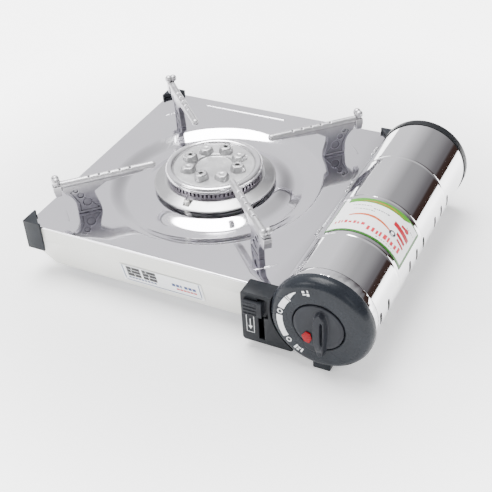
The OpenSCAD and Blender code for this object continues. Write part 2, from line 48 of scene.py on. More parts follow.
# ---------------------------------------------------------------------------------------------
# Camera: above and to the right of the front, tilted a little, with a moderate lens. Its place
# is measured from the burner's axis, at the level of the table.
ring_low, ring_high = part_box("crown_ring")
burner = (ring_low + ring_high) / 2
view_azimuth, view_elevation, view_roll = math.radians(28.61), math.radians(37.0), math.radians(-4.0)
camera_data = bpy.data.cameras.new("camera")
camera_data.lens = 70.35
camera_data.clip_start, camera_data.clip_end = 0.01, 50
camera = bpy.data.objects.new("camera", camera_data)
bpy.context.scene.collection.objects.link(camera)
back = Vector((math.sin(view_azimuth) * math.cos(view_elevation),
               -math.cos(view_azimuth) * math.cos(view_elevation), math.sin(view_elevation)))
right = (-back).cross(Vector((0, 0, 1))).normalized()
up = right.cross(-back)
turned_right = right * math.cos(view_roll) + up * math.sin(view_roll)
turned_up = up * math.cos(view_roll) - right * math.sin(view_roll)
turn = Matrix((turned_right, turned_up, back)).transposed().to_4x4()
camera_from_burner = Vector((408.4, -694.9, 580.3)) * MM
camera.matrix_world = Matrix.Translation(burner.xy.to_3d() + camera_from_burner) @ turn
bpy.context.scene.camera = camera


# ---------------------------------------------------------------------------------------------
# Studio: a pale matt table that glows away from the stove, a grey room with a dark band low at
# the back right, and three soft boxes.
def material(name):
    made = bpy.data.materials.new(name)
    made.use_nodes = True
    return made, made.node_tree, made.node_tree.nodes["Principled BSDF"]


table_top = bpy.data.meshes.new("table_top")
table_half = 3.0
table_top.from_pydata([(-table_half, -table_half, 0), (table_half, -table_half, 0),
                       (table_half, table_half, 0),
                       (-table_half, table_half, 0)], [], [(0, 1, 2, 3)])
table = bpy.data.objects.new("table", table_top)
bpy.context.scene.collection.objects.link(table)
table_paint, table_tree, table_shader = material("table_paint")
table_shader.inputs["Base Color"].default_value = (0.9, 0.9, 0.9, 1)
table_shader.inputs["Roughness"].default_value = 0.7
table_shader.inputs["Emission Color"].default_value = (1, 1, 1, 1)
table_place = table_tree.nodes.new("ShaderNodeTexCoord")
table_far = table_tree.nodes.new("ShaderNodeVectorMath")
table_far.operation = "LENGTH"
table_tree.links.new(table_place.outputs["Object"], table_far.inputs[0])
# The table's glow is weak near the stove and strong far off: the dim patch round the stove is a painted
# shadow on the bright table.
table_glow = table_tree.nodes.new("ShaderNodeMapRange")
table_glow.interpolation_type = "SMOOTHSTEP"
table_glow.inputs["From Min"].default_value = 0.17
table_glow.inputs["From Max"].default_value = 0.50
table_glow.inputs["To Min"].default_value = 0.45
table_glow.inputs["To Max"].default_value = 3.2
table_tree.links.new(table_far.outputs["Value"], table_glow.inputs["Value"])
table_tree.links.new(table_glow.outputs["Result"], table_shader.inputs["Emission Strength"])
table_top.materials.append(table_paint)

room = bpy.data.worlds.new("room")
room.use_nodes = True
bpy.context.scene.world = room
room_nodes, room_links = room.node_tree.nodes, room.node_tree.links
room_light = room_nodes["Background"]
room_light.inputs["Strength"].default_value = 1.0
direction = room_nodes.new("ShaderNodeTexCoord")
parts = room_nodes.new("ShaderNodeSeparateXYZ")
room_links.new(direction.outputs["Generated"], parts.inputs[0])
height_ramp = room_nodes.new("ShaderNodeValToRGB")
height_ramp.color_ramp.interpolation = "EASE"
steps = [(0.0, (0.05, 0.028, 0.022)), (0.14, (0.06, 0.038, 0.034)), (0.22, (0.17, 0.16, 0.17)),
         (0.60, (0.46, 0.455, 0.47)), (0.72, (0.74, 0.735, 0.75)), (1.0, (0.9, 0.9, 0.92))]
while len(height_ramp.color_ramp.elements) < len(steps):
    height_ramp.color_ramp.elements.new(0.5)
for element, (place, colour) in zip(height_ramp.color_ramp.elements, steps):
    element.position = place
    element.color = (*colour, 1)
room_links.new(parts.outputs["Z"], height_ramp.inputs[0])
side = room_nodes.new("ShaderNodeMapRange")
side.inputs["From Min"].default_value = -0.38
side.inputs["From Max"].default_value = 0.06
room_links.new(parts.outputs["X"], side.inputs["Value"])
mixed = room_nodes.new("ShaderNodeMix")
mixed.data_type = "RGBA"
mixed.inputs["A"].default_value = (1.22, 1.21, 1.25, 1)
room_links.new(side.outputs["Result"], mixed.inputs["Factor"])
behind = room_nodes.new("ShaderNodeMapRange")
behind.inputs["From Min"].default_value = -0.30
behind.inputs["From Max"].default_value = -0.05
room_links.new(parts.outputs["Y"], behind.inputs["Value"])
fronted = room_nodes.new("ShaderNodeMix")
fronted.data_type = "RGBA"
fronted.inputs["A"].default_value = (0.75, 0.75, 0.77, 1)
room_links.new(behind.outputs["Result"], fronted.inputs["Factor"])
room_links.new(height_ramp.outputs["Color"], fronted.inputs["B"])
room_links.new(fronted.outputs["Result"], mixed.inputs["B"])
room_links.new(mixed.outputs["Result"], room_light.inputs["Color"])
front_half = room_nodes.new("ShaderNodeMapRange")
front_half.inputs["From Min"].default_value = -0.35
front_half.inputs["From Max"].default_value = 0.15
front_half.inputs["To Min"].default_value = 0.45
front_half.inputs["To Max"].default_value = 1.0
room_links.new(parts.outputs["Y"], front_half.inputs["Value"])
room_links.new(front_half.outputs["Result"], room_light.inputs["Strength"])


def soft_box(name, spot, aim, width, depth, power):
    light = bpy.data.lights.new(name, "AREA")
    light.shape = "RECTANGLE"
    light.size, light.size_y, light.energy = width, depth, power
    lamp = bpy.data.objects.new(name, light)
    bpy.context.scene.collection.objects.link(lamp)
    lamp.location = spot
    lamp.rotation_mode = "QUATERNION"
    lamp.rotation_quaternion = (Vector(aim) - Vector(spot)).to_track_quat("-Z", "Y")
    return lamp


soft_box("overhead", (-0.5, 0.3, 2.4), (0, 0, 0), 1.6, 1.6, 150)
soft_box("front_left", (-1.3, -1.5, 1.3), (0, 0, 0.05), 0.8, 0.8, 22)
soft_box("front_right", (1.4, -1.3, 1.2), (0, 0, 0.05), 0.4, 0.8, 6)


# ---------------------------------------------------------------------------------------------
# Body shell: a folded steel box, painted gloss white, whose front and back walls lean in below
# a short upright band. Its folds are slightly rounded.
def wire(tree, source, target):
    tree.links.new(source, target)


def surface_point(tree):
    return tree.nodes.new("ShaderNodeTexCoord").outputs["Object"]


def blotches(tree, scale, detail=4.0, stretch=(1, 1, 1)):
    """Noise over the surface, with its scale in features per metre."""
    spread = tree.nodes.new("ShaderNodeMapping")
    spread.inputs["Scale"].default_value = stretch
    wire(tree, surface_point(tree), spread.inputs["Vector"])
    made = tree.nodes.new("ShaderNodeTexNoise")
    made.inputs["Scale"].default_value = scale
    made.inputs["Detail"].default_value = detail
    wire(tree, spread.outputs["Vector"], made.inputs["Vector"])
    return made.outputs["Fac"]


def between(tree, value, low, high):
    made = tree.nodes.new("ShaderNodeMapRange")
    made.inputs["From Min"].default_value = 0.3
    made.inputs["From Max"].default_value = 0.7
    made.inputs["To Min"].default_value = low
    made.inputs["To Max"].default_value = high
    wire(tree, value, made.inputs["Value"])
    return made.outputs["Result"]


def two_tone(tree, value, first, second):
    made = tree.nodes.new("ShaderNodeMix")
    made.data_type = "RGBA"
    made.inputs["A"].default_value = (*first, 1)
    made.inputs["B"].default_value = (*second, 1)
    wire(tree, value, made.inputs["Factor"])
    return made.outputs["Result"]


def mottled(tree, shader, scale, detail, first, second):
    """Lets the colour wander between two tones in patches."""
    wire(tree, two_tone(tree, between(tree, blotches(tree, scale, detail), 0, 1), first, second),
         shader.inputs["Base Color"])


def uneven_gloss(tree, shader, scale, detail, low, high):
    """Lets the roughness wander between two values in patches."""
    wire(tree, between(tree, blotches(tree, scale, detail), low, high), shader.inputs["Roughness"])


def relief(tree, shader, *layers):
    """Stacks bumps: each layer is a height and its depth in metres."""
    last = None
    for height, depth in layers:
        bump = tree.nodes.new("ShaderNodeBump")
        bump.inputs["Strength"].default_value = 1.0
        bump.inputs["Distance"].default_value = depth
        wire(tree, height, bump.inputs["Height"])
        if last:
            wire(tree, last, bump.inputs["Normal"])
        last = bump.outputs["Normal"]
    wire(tree, last, shader.inputs["Normal"])


def piece(name, points, faces, finish, body, replaces=(), smooth_angle=40):
    """A mesh piece that rides on a body, stands for its CAD nodes and has one finish."""
    mesh = bpy.data.meshes.new(name)
    mesh.from_pydata([tuple(p) for p in points], [], faces)
    made = bpy.data.objects.new(name, mesh)
    bpy.context.scene.collection.objects.link(made)
    return dressed(made, finish, body, replaces, smooth_angle)


def dressed(made, finish, body, replaces=(), smooth_angle=40):
    edit = bmesh.new()
    edit.from_mesh(made.data)
    bmesh.ops.remove_doubles(edit, verts=edit.verts, dist=1e-6)
    bmesh.ops.recalc_face_normals(edit, faces=edit.faces)
    edit.to_mesh(made.data)
    edit.free()
    made.data.materials.clear()
    made.data.materials.append(finish)
    made.data.shade_smooth()
    made.data.set_sharp_from_angle(angle=math.radians(smooth_angle))
    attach(made, body)
    if replaces:
        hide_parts(*replaces)
    return made


def settle(made):
    """Applies the piece's modifiers to its mesh."""
    bpy.context.view_layer.update()
    shaped = made.evaluated_get(bpy.context.evaluated_depsgraph_get())
    mesh = bpy.data.meshes.new_from_object(shaped)
    made.modifiers.clear()
    made.data = mesh
    return made


def rounded_copy(node, name, radius, segments=3, angle=25):
    """The node's own shape as a new mesh, with its edges rounded off."""
    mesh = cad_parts[node].data.copy()
    mesh.name = name
    made = bpy.data.objects.new(name, mesh)
    bpy.context.scene.collection.objects.link(made)
    edit = bmesh.new()
    edit.from_mesh(mesh)
    bmesh.ops.remove_doubles(edit, verts=edit.verts, dist=2e-6)
    bmesh.ops.dissolve_limit(edit, angle_limit=math.radians(0.8), verts=edit.verts, edges=edit.edges)
    edit.to_mesh(mesh)
    edit.free()
    bevel = made.modifiers.new("rounding", "BEVEL")
    bevel.width, bevel.segments, bevel.limit_method = radius, segments, "ANGLE"
    bevel.angle_limit = math.radians(angle)
    bevel.harden_normals = True
    mesh.shade_smooth()
    return settle(made)


white_paint, tree, shader = material("white_paint")
grime = blotches(tree, 14, 5)
wire(tree, two_tone(tree, between(tree, grime, 0, 1), (0.80, 0.80, 0.745), (0.84, 0.84, 0.80)),
     shader.inputs["Base Color"])
uneven_gloss(tree, shader, 60, 3, 0.16, 0.26)
shader.inputs["Coat Weight"].default_value = 0.5
shader.inputs["Coat Roughness"].default_value = 0.08
relief(tree, shader, (blotches(tree, 420, 2), 0.00004), (blotches(tree, 7, 1), 0.0006))
shell = rounded_copy("body_shell", "shell_walls", 0.9 * MM, 3, 9)
dressed(shell, white_paint, "chassis", ["body_shell"], 35)


# ---------------------------------------------------------------------------------------------
# Floor pan: a plated steel sheet under the shell, with two rows of cooling slots. Four slotted
# screws hold it up from below.
plated_steel, tree, shader = material("plated_steel")
spangle = blotches(tree, 130, 6)
wire(tree, two_tone(tree, between(tree, spangle, 0, 1), (0.50, 0.51, 0.53), (0.66, 0.67, 0.69)),
     shader.inputs["Base Color"])
shader.inputs["Metallic"].default_value = 1.0
uneven_gloss(tree, shader, 90, 4, 0.28, 0.46)
relief(tree, shader, (blotches(tree, 900, 3), 0.00003), (blotches(tree, 40, 2), 0.0001))
dressed(rounded_copy("floor_pan", "floor_sheet", 0.25 * MM, 2), plated_steel, "chassis",
        ["floor_pan"])
dressed(rounded_copy("shell_screws", "floor_screws", 0.3 * MM, 2), plated_steel, "chassis",
        ["shell_screws"])


# ---------------------------------------------------------------------------------------------
# Top plate: one polished stainless pressing. A round dish with soft shoulders surrounds the
# burner hole, a straight bead stiffens the back, and the edge turns down over the shell.
def polished(name, tint, rough_low, rough_high):
    made, tree, shader = material(name)
    haze = blotches(tree, 9, 4)
    darker = tuple(c * 0.94 for c in tint)
    wire(tree, two_tone(tree, between(tree, haze, 0, 1), darker, tint), shader.inputs["Base Color"])
    shader.inputs["Metallic"].default_value = 1.0
    smudge = tree.nodes.new("ShaderNodeMath")
    smudge.operation = "MULTIPLY"
    wire(tree, blotches(tree, 22, 6), smudge.inputs[0])
    wire(tree, blotches(tree, 500, 2, (1, 0.06, 1)), smudge.inputs[1])
    spread = tree.nodes.new("ShaderNodeMapRange")
    spread.inputs["From Min"].default_value = 0.15
    spread.inputs["From Max"].default_value = 0.40
    spread.inputs["To Min"].default_value = rough_low
    spread.inputs["To Max"].default_value = rough_high
    wire(tree, smudge.outputs[0], spread.inputs["Value"])
    wire(tree, spread.outputs["Result"], shader.inputs["Roughness"])
    relief(tree, shader, (blotches(tree, 9, 1), 0.00015), (blotches(tree, 700, 2, (1, 0.05, 1)), 0.000005))
    return made


plate_steel = polished("plate_steel", (0.84, 0.83, 0.865), 0.05, 0.12)
plate_low, plate_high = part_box("body_shell")
sheet_t = 1.2 * MM
plate_z = plate_high.z + sheet_t
edge_r = 1.2 * MM
bowl_w, shoulder_w = 19 * MM, 20 * MM
hole_r, collar_r, dish_r, dish_depth = 51 * MM, 61 * MM, 107 * MM, 6 * MM


def ease(t):
    t = min(max(t, 0.0), 1.0)
    return t * t * (3 - 2 * t)


def plate_height(r):
    down = ease((r - collar_r) / bowl_w)
    out = ease((r - dish_r + bowl_w) / shoulder_w)
    return -1.0 * MM * (1 - down) - dish_depth * down * (1 - out)


corners = [math.atan2(y - burner.y, x - burner.x) for x in (plate_low.x, plate_high.x)
           for y in (plate_low.y, plate_high.y)]
turns = sorted([i * math.tau / 240 - math.pi for i in range(240)] + corners)
radii = [hole_r + 0.0, hole_r + 1 * MM, 56 * MM]
radii += [(61 + 0.95 * i) * MM for i in range(21)] + [84 * MM]
radii += [(88 + i) * MM for i in range(21)] + [112 * MM, 117 * MM]
rings = [[(burner.x + r * math.cos(t), burner.y + r * math.sin(t), plate_z + plate_height(r)) for t in turns]
         for r in radii]


def on_edge(t, inset, drop):
    """The point of the plate's outline, inset and lowered, that lies in direction t."""
    dx, dy = math.cos(t), math.sin(t)
    reach_x = ((plate_high.x if dx > 0 else plate_low.x) - burner.x) / dx if abs(dx) > 1e-9 else 9
    reach_y = ((plate_high.y if dy > 0 else plate_low.y) - burner.y) / dy if abs(dy) > 1e-9 else 9
    reach = min(reach_x, reach_y)
    x = min(max(burner.x + dx * reach, plate_low.x + inset), plate_high.x - inset)
    y = min(max(burner.y + dy * reach, plate_low.y + inset), plate_high.y - inset)
    return x, y, plate_z - drop


flat_edge = [on_edge(t, edge_r, 0) for t in turns]
for share in (0.35, 0.7):
    rings.append([tuple(a + (b - a) * share for a, b in zip(p, q)) for p,
                  q in zip(rings[len(radii) - 1], flat_edge)])
rings.append(flat_edge)
for step in range(1, 5):
    a = step * math.pi / 8
    rings.append([on_edge(t, edge_r * (1 - math.sin(a)), edge_r * (1 - math.cos(a))) for t in turns])
count = len(turns)


def skin(rings, closed=True):
    """Quads between rings of equal length."""
    count = len(rings[0])
    last = count if closed else count - 1
    return [(r * count + i, r * count + (i + 1) % count, (r + 1) * count + (i + 1) % count,
             (r + 1) * count + i)
            for r in range(len(rings) - 1) for i in range(last)]


def bead(start, end, half_width, height, segments=10):
    """A straight pressed bead with round ends, from start to end on the plate."""
    along = (end - start).normalized()
    across = Vector((-along.y, along.x, 0))
    length = (end - start).length
    rows = []
    for i in range(33):
        s = (1 - math.cos(math.pi * i / 32)) / 2
        near = min(s * length, (1 - s) * length)
        wide = half_width * math.sqrt(min(1.0, 1 - (1 - min(near / half_width, 1)) ** 2)) + 1e-6
        rows.append([start + along * (s * length) + across * (wide * math.cos(math.pi * k / segments))
                     + Vector((0, 0, height * (wide / half_width) * math.sin(math.pi * k / segments)))
                     for k in range(segments + 1)])
    return rows


points = [p for ring in rings for p in ring]
faces = skin(rings)
plate = piece("top_sheet", points, faces, plate_steel, "chassis", ["top_plate"], 60)
solid = plate.modifiers.new("thickness", "SOLIDIFY")
solid.thickness, solid.offset = 1.0 * MM, -1
solid.use_even_offset = True
settle(plate)
bead_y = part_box("top_plate")[1].y - 13 * MM
rows = bead(Vector((burner.x - 83 * MM, bead_y, plate_z)), Vector((burner.x + 15 * MM, bead_y, plate_z)),
            1.8 * MM, 0.7 * MM)
piece("back_bead", [p for row in rows for p in row], skin(rows, False), plate_steel, "chassis")
stop_points, stop_faces = [], []
for quarter in range(4):
    middle = math.radians(45 + 90 * quarter)
    for step in range(14):
        t = middle + math.radians(-4.4 + 8.8 * step / 13)
        swell = math.sin(math.pi * (step + 0.02) / 13.04) ** 0.5
        for k in range(9):
            r = 150 * MM + 1.0 * MM * swell * math.cos(math.pi * k / 8)
            stop_points.append((burner.x + r * math.cos(t), burner.y + r * math.sin(t),
                                plate_z + 0.7 * MM * swell * math.sin(math.pi * k / 8)))
    base = quarter * 14 * 9
    stop_faces += [(base + s * 9 + k, base + s * 9 + k + 1, base + (s + 1) * 9 + k + 1,
                    base + (s + 1) * 9 + k)
                   for s in range(13) for k in range(8)]
piece("pressed_stops", stop_points, stop_faces, plate_steel, "chassis")


# ---------------------------------------------------------------------------------------------
# Drip ring: a shallow stainless cone around the burner with a rolled rim and a keyhole for the
# igniter. It sits a few millimetres above the dish and leaves a dark gap under its rim.
def rounded_outline(corners, radius, steps=4):
    """A closed outline with its corners rounded off."""
    outline = []
    total = len(corners)
    for i, corner in enumerate(corners):
        corner = Vector(corner)
        before = Vector(corners[i - 1]) - corner
        after = Vector(corners[(i + 1) % total]) - corner
        reach = min(radius, before.length * 0.45, after.length * 0.45)
        if corner.x < 1e-9:
            outline.append(corner)
            continue
        first = corner + before.normalized() * reach
        last = corner + after.normalized() * reach
        for k in range(steps + 1):
            s = k / steps
            outline.append(first * (1 - s) ** 2 + corner * 2 * s * (1 - s) + last * s ** 2)
    return outline


def turned(outline, centre, steps=160, axis="Z"):
    """A solid turned about an upright axis, or about one along Y; the outline is (radius, place)."""
    rings = []
    for i in range(steps):
        t = i * math.tau / steps
        if axis == "Z":
            rings.append([(centre[0] + p[0] * math.cos(t), centre[1] + p[0] * math.sin(t), p[1])
                          for p in outline])
        else:
            rings.append([(centre[0] + p[0] * math.cos(t), p[1], centre[1] + p[0] * math.sin(t))
                          for p in outline])
    count = len(outline)
    points = [p for ring in rings for p in ring]
    faces = [(i * count + k, i * count + (k + 1) % count, ((i + 1) % steps) * count + (k + 1) % count,
              ((i + 1) % steps) * count + k) for i in range(steps) for k in range(count)]
    return points, faces


def carve(made, cutter_points, cutter_faces):
    """Cuts a closed shape out of a piece."""
    mesh = bpy.data.meshes.new("cutter")
    mesh.from_pydata([tuple(p) for p in cutter_points], [], cutter_faces)
    edit = bmesh.new()
    edit.from_mesh(mesh)
    bmesh.ops.recalc_face_normals(edit, faces=edit.faces)
    edit.to_mesh(mesh)
    edit.free()
    cutter = bpy.data.objects.new("cutter", mesh)
    bpy.context.scene.collection.objects.link(cutter)
    cut = made.modifiers.new("cut", "BOOLEAN")
    cut.operation, cut.solver, cut.object = "DIFFERENCE", "EXACT", cutter
    settle(made)
    bpy.data.objects.remove(cutter)
    bpy.data.meshes.remove(mesh)


def post(centre, radius, z0, z1, steps=32):
    """Points and faces of an upright closed cylinder, for cutting."""
    points = [(centre[0] + radius * math.cos(k * math.tau / steps),
               centre[1] + radius * math.sin(k * math.tau / steps),
               z) for z in (z0, z1) for k in range(steps)]
    faces = [tuple(range(steps)), tuple(range(steps, 2 * steps))]
    faces += [(k, (k + 1) % steps, steps + (k + 1) % steps, steps + k) for k in range(steps)]
    return points, faces


def at(direction, radius, z=0.0):
    return Vector((burner.x + radius * math.cos(direction), burner.y + radius * math.sin(direction), z))


ring_steel = polished("ring_steel", (0.50, 0.50, 0.505), 0.30, 0.42)
spark = (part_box("electrode")[0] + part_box("electrode")[1]) / 2
igniter = math.atan2(spark.y - burner.y, spark.x - burner.x)
drip_z = plate_z + 4 * MM
drip = rounded_outline([(44.7 * MM, drip_z), (55 * MM, drip_z), (58.6 * MM, drip_z - 1.2 * MM),
                        (60.6 * MM, drip_z - 1.0 * MM), (60.6 * MM, drip_z + 0.6 * MM),
                        (59.2 * MM, drip_z + 0.8 * MM), (49.7 * MM, drip_z + 5 * MM),
                        (44.7 * MM, drip_z + 5 * MM)], 0.5 * MM)
points, faces = turned(drip, burner)
drip_ring = piece("drip_cone", points, faces, ring_steel, "chassis", ["drip_ring"], 50)
sideways = at(igniter + math.pi / 2, 1) - burner.xy.to_3d()
keyhole = [at(igniter, r, z) + sideways * s for z in (plate_z, plate_z + 12 * MM)
           for r, s in ((49.9 * MM, -4.6 * MM), (57.2 * MM, -3.4 * MM), (57.2 * MM, 3.4 * MM),
                        (49.9 * MM, 4.6 * MM))]
block_faces = [(0, 1, 2, 3), (4, 5, 6, 7), (0, 1, 5, 4), (1, 2, 6, 5), (2, 3, 7, 6), (3, 0, 4, 7)]
carve(drip_ring, keyhole, block_faces)
dressed(drip_ring, ring_steel, "chassis", ["drip_ring"], 40)
carve(plate, *post(at(igniter, 54 * MM), 4.2 * MM, plate_z - 10 * MM, plate_z + 3 * MM))
dressed(plate, plate_steel, "chassis", ["top_plate"], 55)


# ---------------------------------------------------------------------------------------------
# Burner: a cast aluminium base with its mixing tube under the plate, a slotted port ring with
# heat tint, a bright turned crown, and a blasted head with rounded gas nubs.
def cast(name, dark, light, rough_low, rough_high, grain):
    made, tree, shader = material(name)
    mottled(tree, shader, 70, 6, dark, light)
    shader.inputs["Metallic"].default_value = 1.0
    uneven_gloss(tree, shader, 260, 4, rough_low, rough_high)
    relief(tree, shader, (blotches(tree, 1500, 3), grain), (blotches(tree, 240, 4), grain * 3))
    return made


rough_casting = cast("rough_casting", (0.42, 0.42, 0.43), (0.60, 0.60, 0.61), 0.42, 0.60, 0.00006)
head_casting = cast("head_casting", (0.46, 0.46, 0.465), (0.60, 0.60, 0.605), 0.36, 0.50, 0.00004)
crown_alloy = cast("crown_alloy", (0.80, 0.79, 0.81), (0.90, 0.89, 0.91), 0.16, 0.26, 0.000012)
tinted_steel = cast("tinted_steel", (0.26, 0.235, 0.27), (0.40, 0.375, 0.42), 0.30, 0.45, 0.00003)
dressed(rounded_copy("burner_base", "base_casting", 0.8 * MM, 2), rough_casting, "chassis",
        ["burner_base"], 45)
dressed(rounded_copy("mixing_tube", "mixing_casting", 0.5 * MM, 2), rough_casting, "chassis",
        ["mixing_tube"], 45)

ring_r = (ring_high.x - ring_low.x) / 2
ring_z = ring_high.z
port_low, port_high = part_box("port_ring")
ports, port_inner, port_outer = 72, ring_r - 6 * MM, ring_r - 1.2 * MM
slot_z0, slot_z1, slot_share = port_high.z - 4.4 * MM, port_high.z - 0.2 * MM, 0.47
levels = [(port_low.z, 0), (slot_z0, 0), (slot_z0, 1), (slot_z1, 1), (slot_z1, 0), (port_high.z, 0)]
rings = []
for z, cut in levels:
    ring = []
    for i in range(ports):
        for part, deep in ((0.0, False), (1 - slot_share, False), (1 - slot_share, True), (1.0, True)):
            t = (i + part) * math.tau / ports
            r = port_outer - 3.6 * MM if deep and cut else port_outer
            ring.append(tuple(at(t, r, z)))
    rings.append(ring)
rings.append([tuple(at(math.atan2(p[1] - burner.y, p[0] - burner.x), port_inner, port_high.z))
              for p in rings[-1]])
rings.append([tuple(at(math.atan2(p[1] - burner.y, p[0] - burner.x), port_inner, port_low.z))
              for p in rings[-1]])
rings.append(rings[0])
piece("slotted_ring", [p for ring in rings for p in ring], skin(rings), tinted_steel, "chassis",
      ["port_ring"], 30)
crown_z = ring_low.z
crown = rounded_outline([(ring_r - 7.5 * MM, crown_z + 0.6 * MM), (ring_r - 6 * MM, crown_z),
                         (ring_r - 0.2 * MM, crown_z), (ring_r, crown_z + 2.8 * MM),
                         (ring_r - 1.2 * MM, ring_z - 0.9 * MM), (ring_r - 2.9 * MM, ring_z),
                         (ring_r - 5.6 * MM, ring_z - 0.1 * MM), (ring_r - 7.5 * MM, ring_z - 1.6 * MM)],
                         1.3 * MM, 6)
points, faces = turned(crown, burner, 192)
piece("crown", points, faces, crown_alloy, "chassis", ["crown_ring"], 50)

nub_tall, nub_low, nub_r, nub_at = 6.3 * MM, 5.1 * MM, 7.5 * MM, 26.2 * MM
head_z = ring_z - 2.2 * MM
head_r = ring_r - 7.7 * MM
head = rounded_outline([(0, head_z - 6 * MM), (head_r - 3 * MM, head_z - 6 * MM), (head_r, head_z - 2 * MM),
                        (head_r, head_z - 0.2 * MM), (head_r - 1.6 * MM, head_z), (19.6 * MM, head_z),
                        (18.3 * MM, head_z - 2.0 * MM), (0, head_z - 1.8 * MM)], 0.8 * MM, 4)
points, faces = turned(head, burner, 128)
piece("head_plate", points, faces, head_casting, "chassis", ["burner_head"], 50)
nub_points, nub_faces = [], []
for i in range(8):
    drilled = i % 2 == 0
    t = i * math.tau / 8
    centre = at(t, nub_at)
    top = head_z + (nub_tall if drilled else nub_low)
    outline = [(nub_r, head_z - 1 * MM), (nub_r, head_z + 1.0 * MM), (nub_r - 1.0 * MM, top - 1.4 * MM),
               (nub_r - 2.0 * MM, top)]
    if drilled:
        outline += [(2.5 * MM, top), (2.2 * MM, top - 0.5 * MM), (2.2 * MM, top - 4 * MM), (0, top - 4 * MM)]
    else:
        outline += [(2.4 * MM, top - 0.1 * MM), (1.2 * MM, top - 0.5 * MM), (0, top - 0.6 * MM)]
    outline = rounded_outline(outline + [(0, head_z - 1 * MM)], 0.9 * MM, 4)
    points, faces = turned(outline, centre, 48)
    outer_side = (centre - burner.xy.to_3d()).normalized()
    base = len(nub_points)
    for p in points:
        offset = (Vector(p) - centre).xy.to_3d()
        # each nub narrows to a blunt point away from the middle
        facing = offset.normalized().dot(outer_side) if offset.length > 2.6 * MM else 0
        moved = centre + offset * (1 + 0.10 * max(facing, 0) ** 6 - 0.09 * math.sin(math.pi * max(facing, 0)))
        nub_points.append((moved.x, moved.y, p[2]))
    nub_faces += [tuple(base + k for k in f) for f in faces]
piece("gas_nubs", nub_points, nub_faces, head_casting, "chassis", (), 50)
# Black plugs set into each drilled nub's bore and its six small gas holes are painted shade: they stand for
# the dark inside the holes.
painted_hole_shade, tree, shader = material("painted_hole_shade")
wire(tree, two_tone(tree, blotches(tree, 800), (0.004, 0.004, 0.004), (0.012, 0.011, 0.01)),
     shader.inputs["Base Color"])
shader.inputs["Roughness"].default_value = 0.9
hole_shade_points, hole_shade_faces = [], []
for i in range(0, 8, 2):
    centre = at(i * math.tau / 8, nub_at)
    top = head_z + nub_tall
    holes = [(centre, 2.15 * MM, top - 3.9 * MM, top - 1.0 * MM)]
    for k in range(6):
        t = i * math.tau / 8 + (k + 0.5) * math.tau / 6
        spot = centre + Vector((math.cos(t), math.sin(t), 0)) * 4.3 * MM
        holes.append((spot, 0.62 * MM, top - 1.4 * MM, top + 0.03 * MM))
    for spot, r, z0, z1 in holes:
        base = len(hole_shade_points)
        points, faces = post(spot, r, z0, z1, 14)
        hole_shade_points += points
        hole_shade_faces += [tuple(base + k for k in f) for f in faces]
piece("nub_hole_shades", hole_shade_points, hole_shade_faces, painted_hole_shade, "chassis")


# ---------------------------------------------------------------------------------------------
# Igniter electrode: a glazed white ceramic sleeve in the drip ring's keyhole, with a thin wire
# bent over to the port ring. The dark cup behind it is the opening down to the base.
glaze, tree, shader = material("ceramic_glaze")
mottled(tree, shader, 300, 4, (0.80, 0.79, 0.74), (0.90, 0.89, 0.86))
shader.inputs["Roughness"].default_value = 0.22
shader.inputs["Coat Weight"].default_value = 0.6
relief(tree, shader, (blotches(tree, 500, 2), 0.00003))
ceramic_low, ceramic_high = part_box("electrode")
ceramic = rounded_outline([(0, ceramic_low.z), (3.4 * MM, ceramic_low.z), (3.4 * MM, plate_z + 1 * MM),
                           (2.5 * MM, plate_z + 2.6 * MM), (2.5 * MM, ceramic_high.z - 1.4 * MM),
                           (1.8 * MM, ceramic_high.z), (0, ceramic_high.z)], 0.5 * MM)
points, faces = turned(ceramic, at(igniter, 54 * MM), 40)
piece("ceramic_sleeve", points, faces, glaze, "chassis", ["electrode"])


def bent_wire(name, path, radius, finish, body, replaces=(), sides=12):
    """A round wire along a smooth path."""
    curve = bpy.data.curves.new(name, "CURVE")
    curve.dimensions, curve.bevel_depth, curve.bevel_resolution = "3D", radius, sides // 4
    curve.use_fill_caps = True
    spline = curve.splines.new("NURBS")
    spline.points.add(len(path) - 1)
    for point, place in zip(spline.points, path):
        point.co = (*place, 1)
    spline.order_u, spline.use_endpoint_u, spline.resolution_u = 3, True, 8
    made = bpy.data.objects.new(name, curve)
    bpy.context.scene.collection.objects.link(made)
    mesh = bpy.data.meshes.new_from_object(made.evaluated_get(bpy.context.evaluated_depsgraph_get()))
    bpy.data.objects.remove(made)
    solid = bpy.data.objects.new(name, mesh)
    bpy.context.scene.collection.objects.link(solid)
    return dressed(solid, finish, body, replaces, 50)


wire_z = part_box("electrode_wire")[1].z - 0.7 * MM
bent_wire("spark_wire", [at(igniter, 54 * MM, ceramic_high.z - 1 * MM), at(igniter, 54 * MM, wire_z - 1 * MM),
                         at(igniter, 53.6 * MM, wire_z), at(igniter, 51 * MM, wire_z),
                         at(igniter, 49.6 * MM, wire_z)],
          0.65 * MM, tinted_steel, "chassis", ["electrode_wire"])


# ---------------------------------------------------------------------------------------------
# Pan supports: four zinc-aluminium castings with soft edges, sunk panels and round recesses.
# Each stands on the plate and turns on a pivot below it.
def cast_copy(node, name, voxel, passes):
    """The node's own shape with the soft edges and fillets of a casting."""
    made = bpy.data.objects.new(name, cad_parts[node].data.copy())
    bpy.context.scene.collection.objects.link(made)
    melt = made.modifiers.new("melt", "REMESH")
    melt.mode, melt.voxel_size = "VOXEL", voxel
    flow = made.modifiers.new("flow", "SMOOTH")
    flow.iterations, flow.factor = passes, 0.5
    return settle(made)


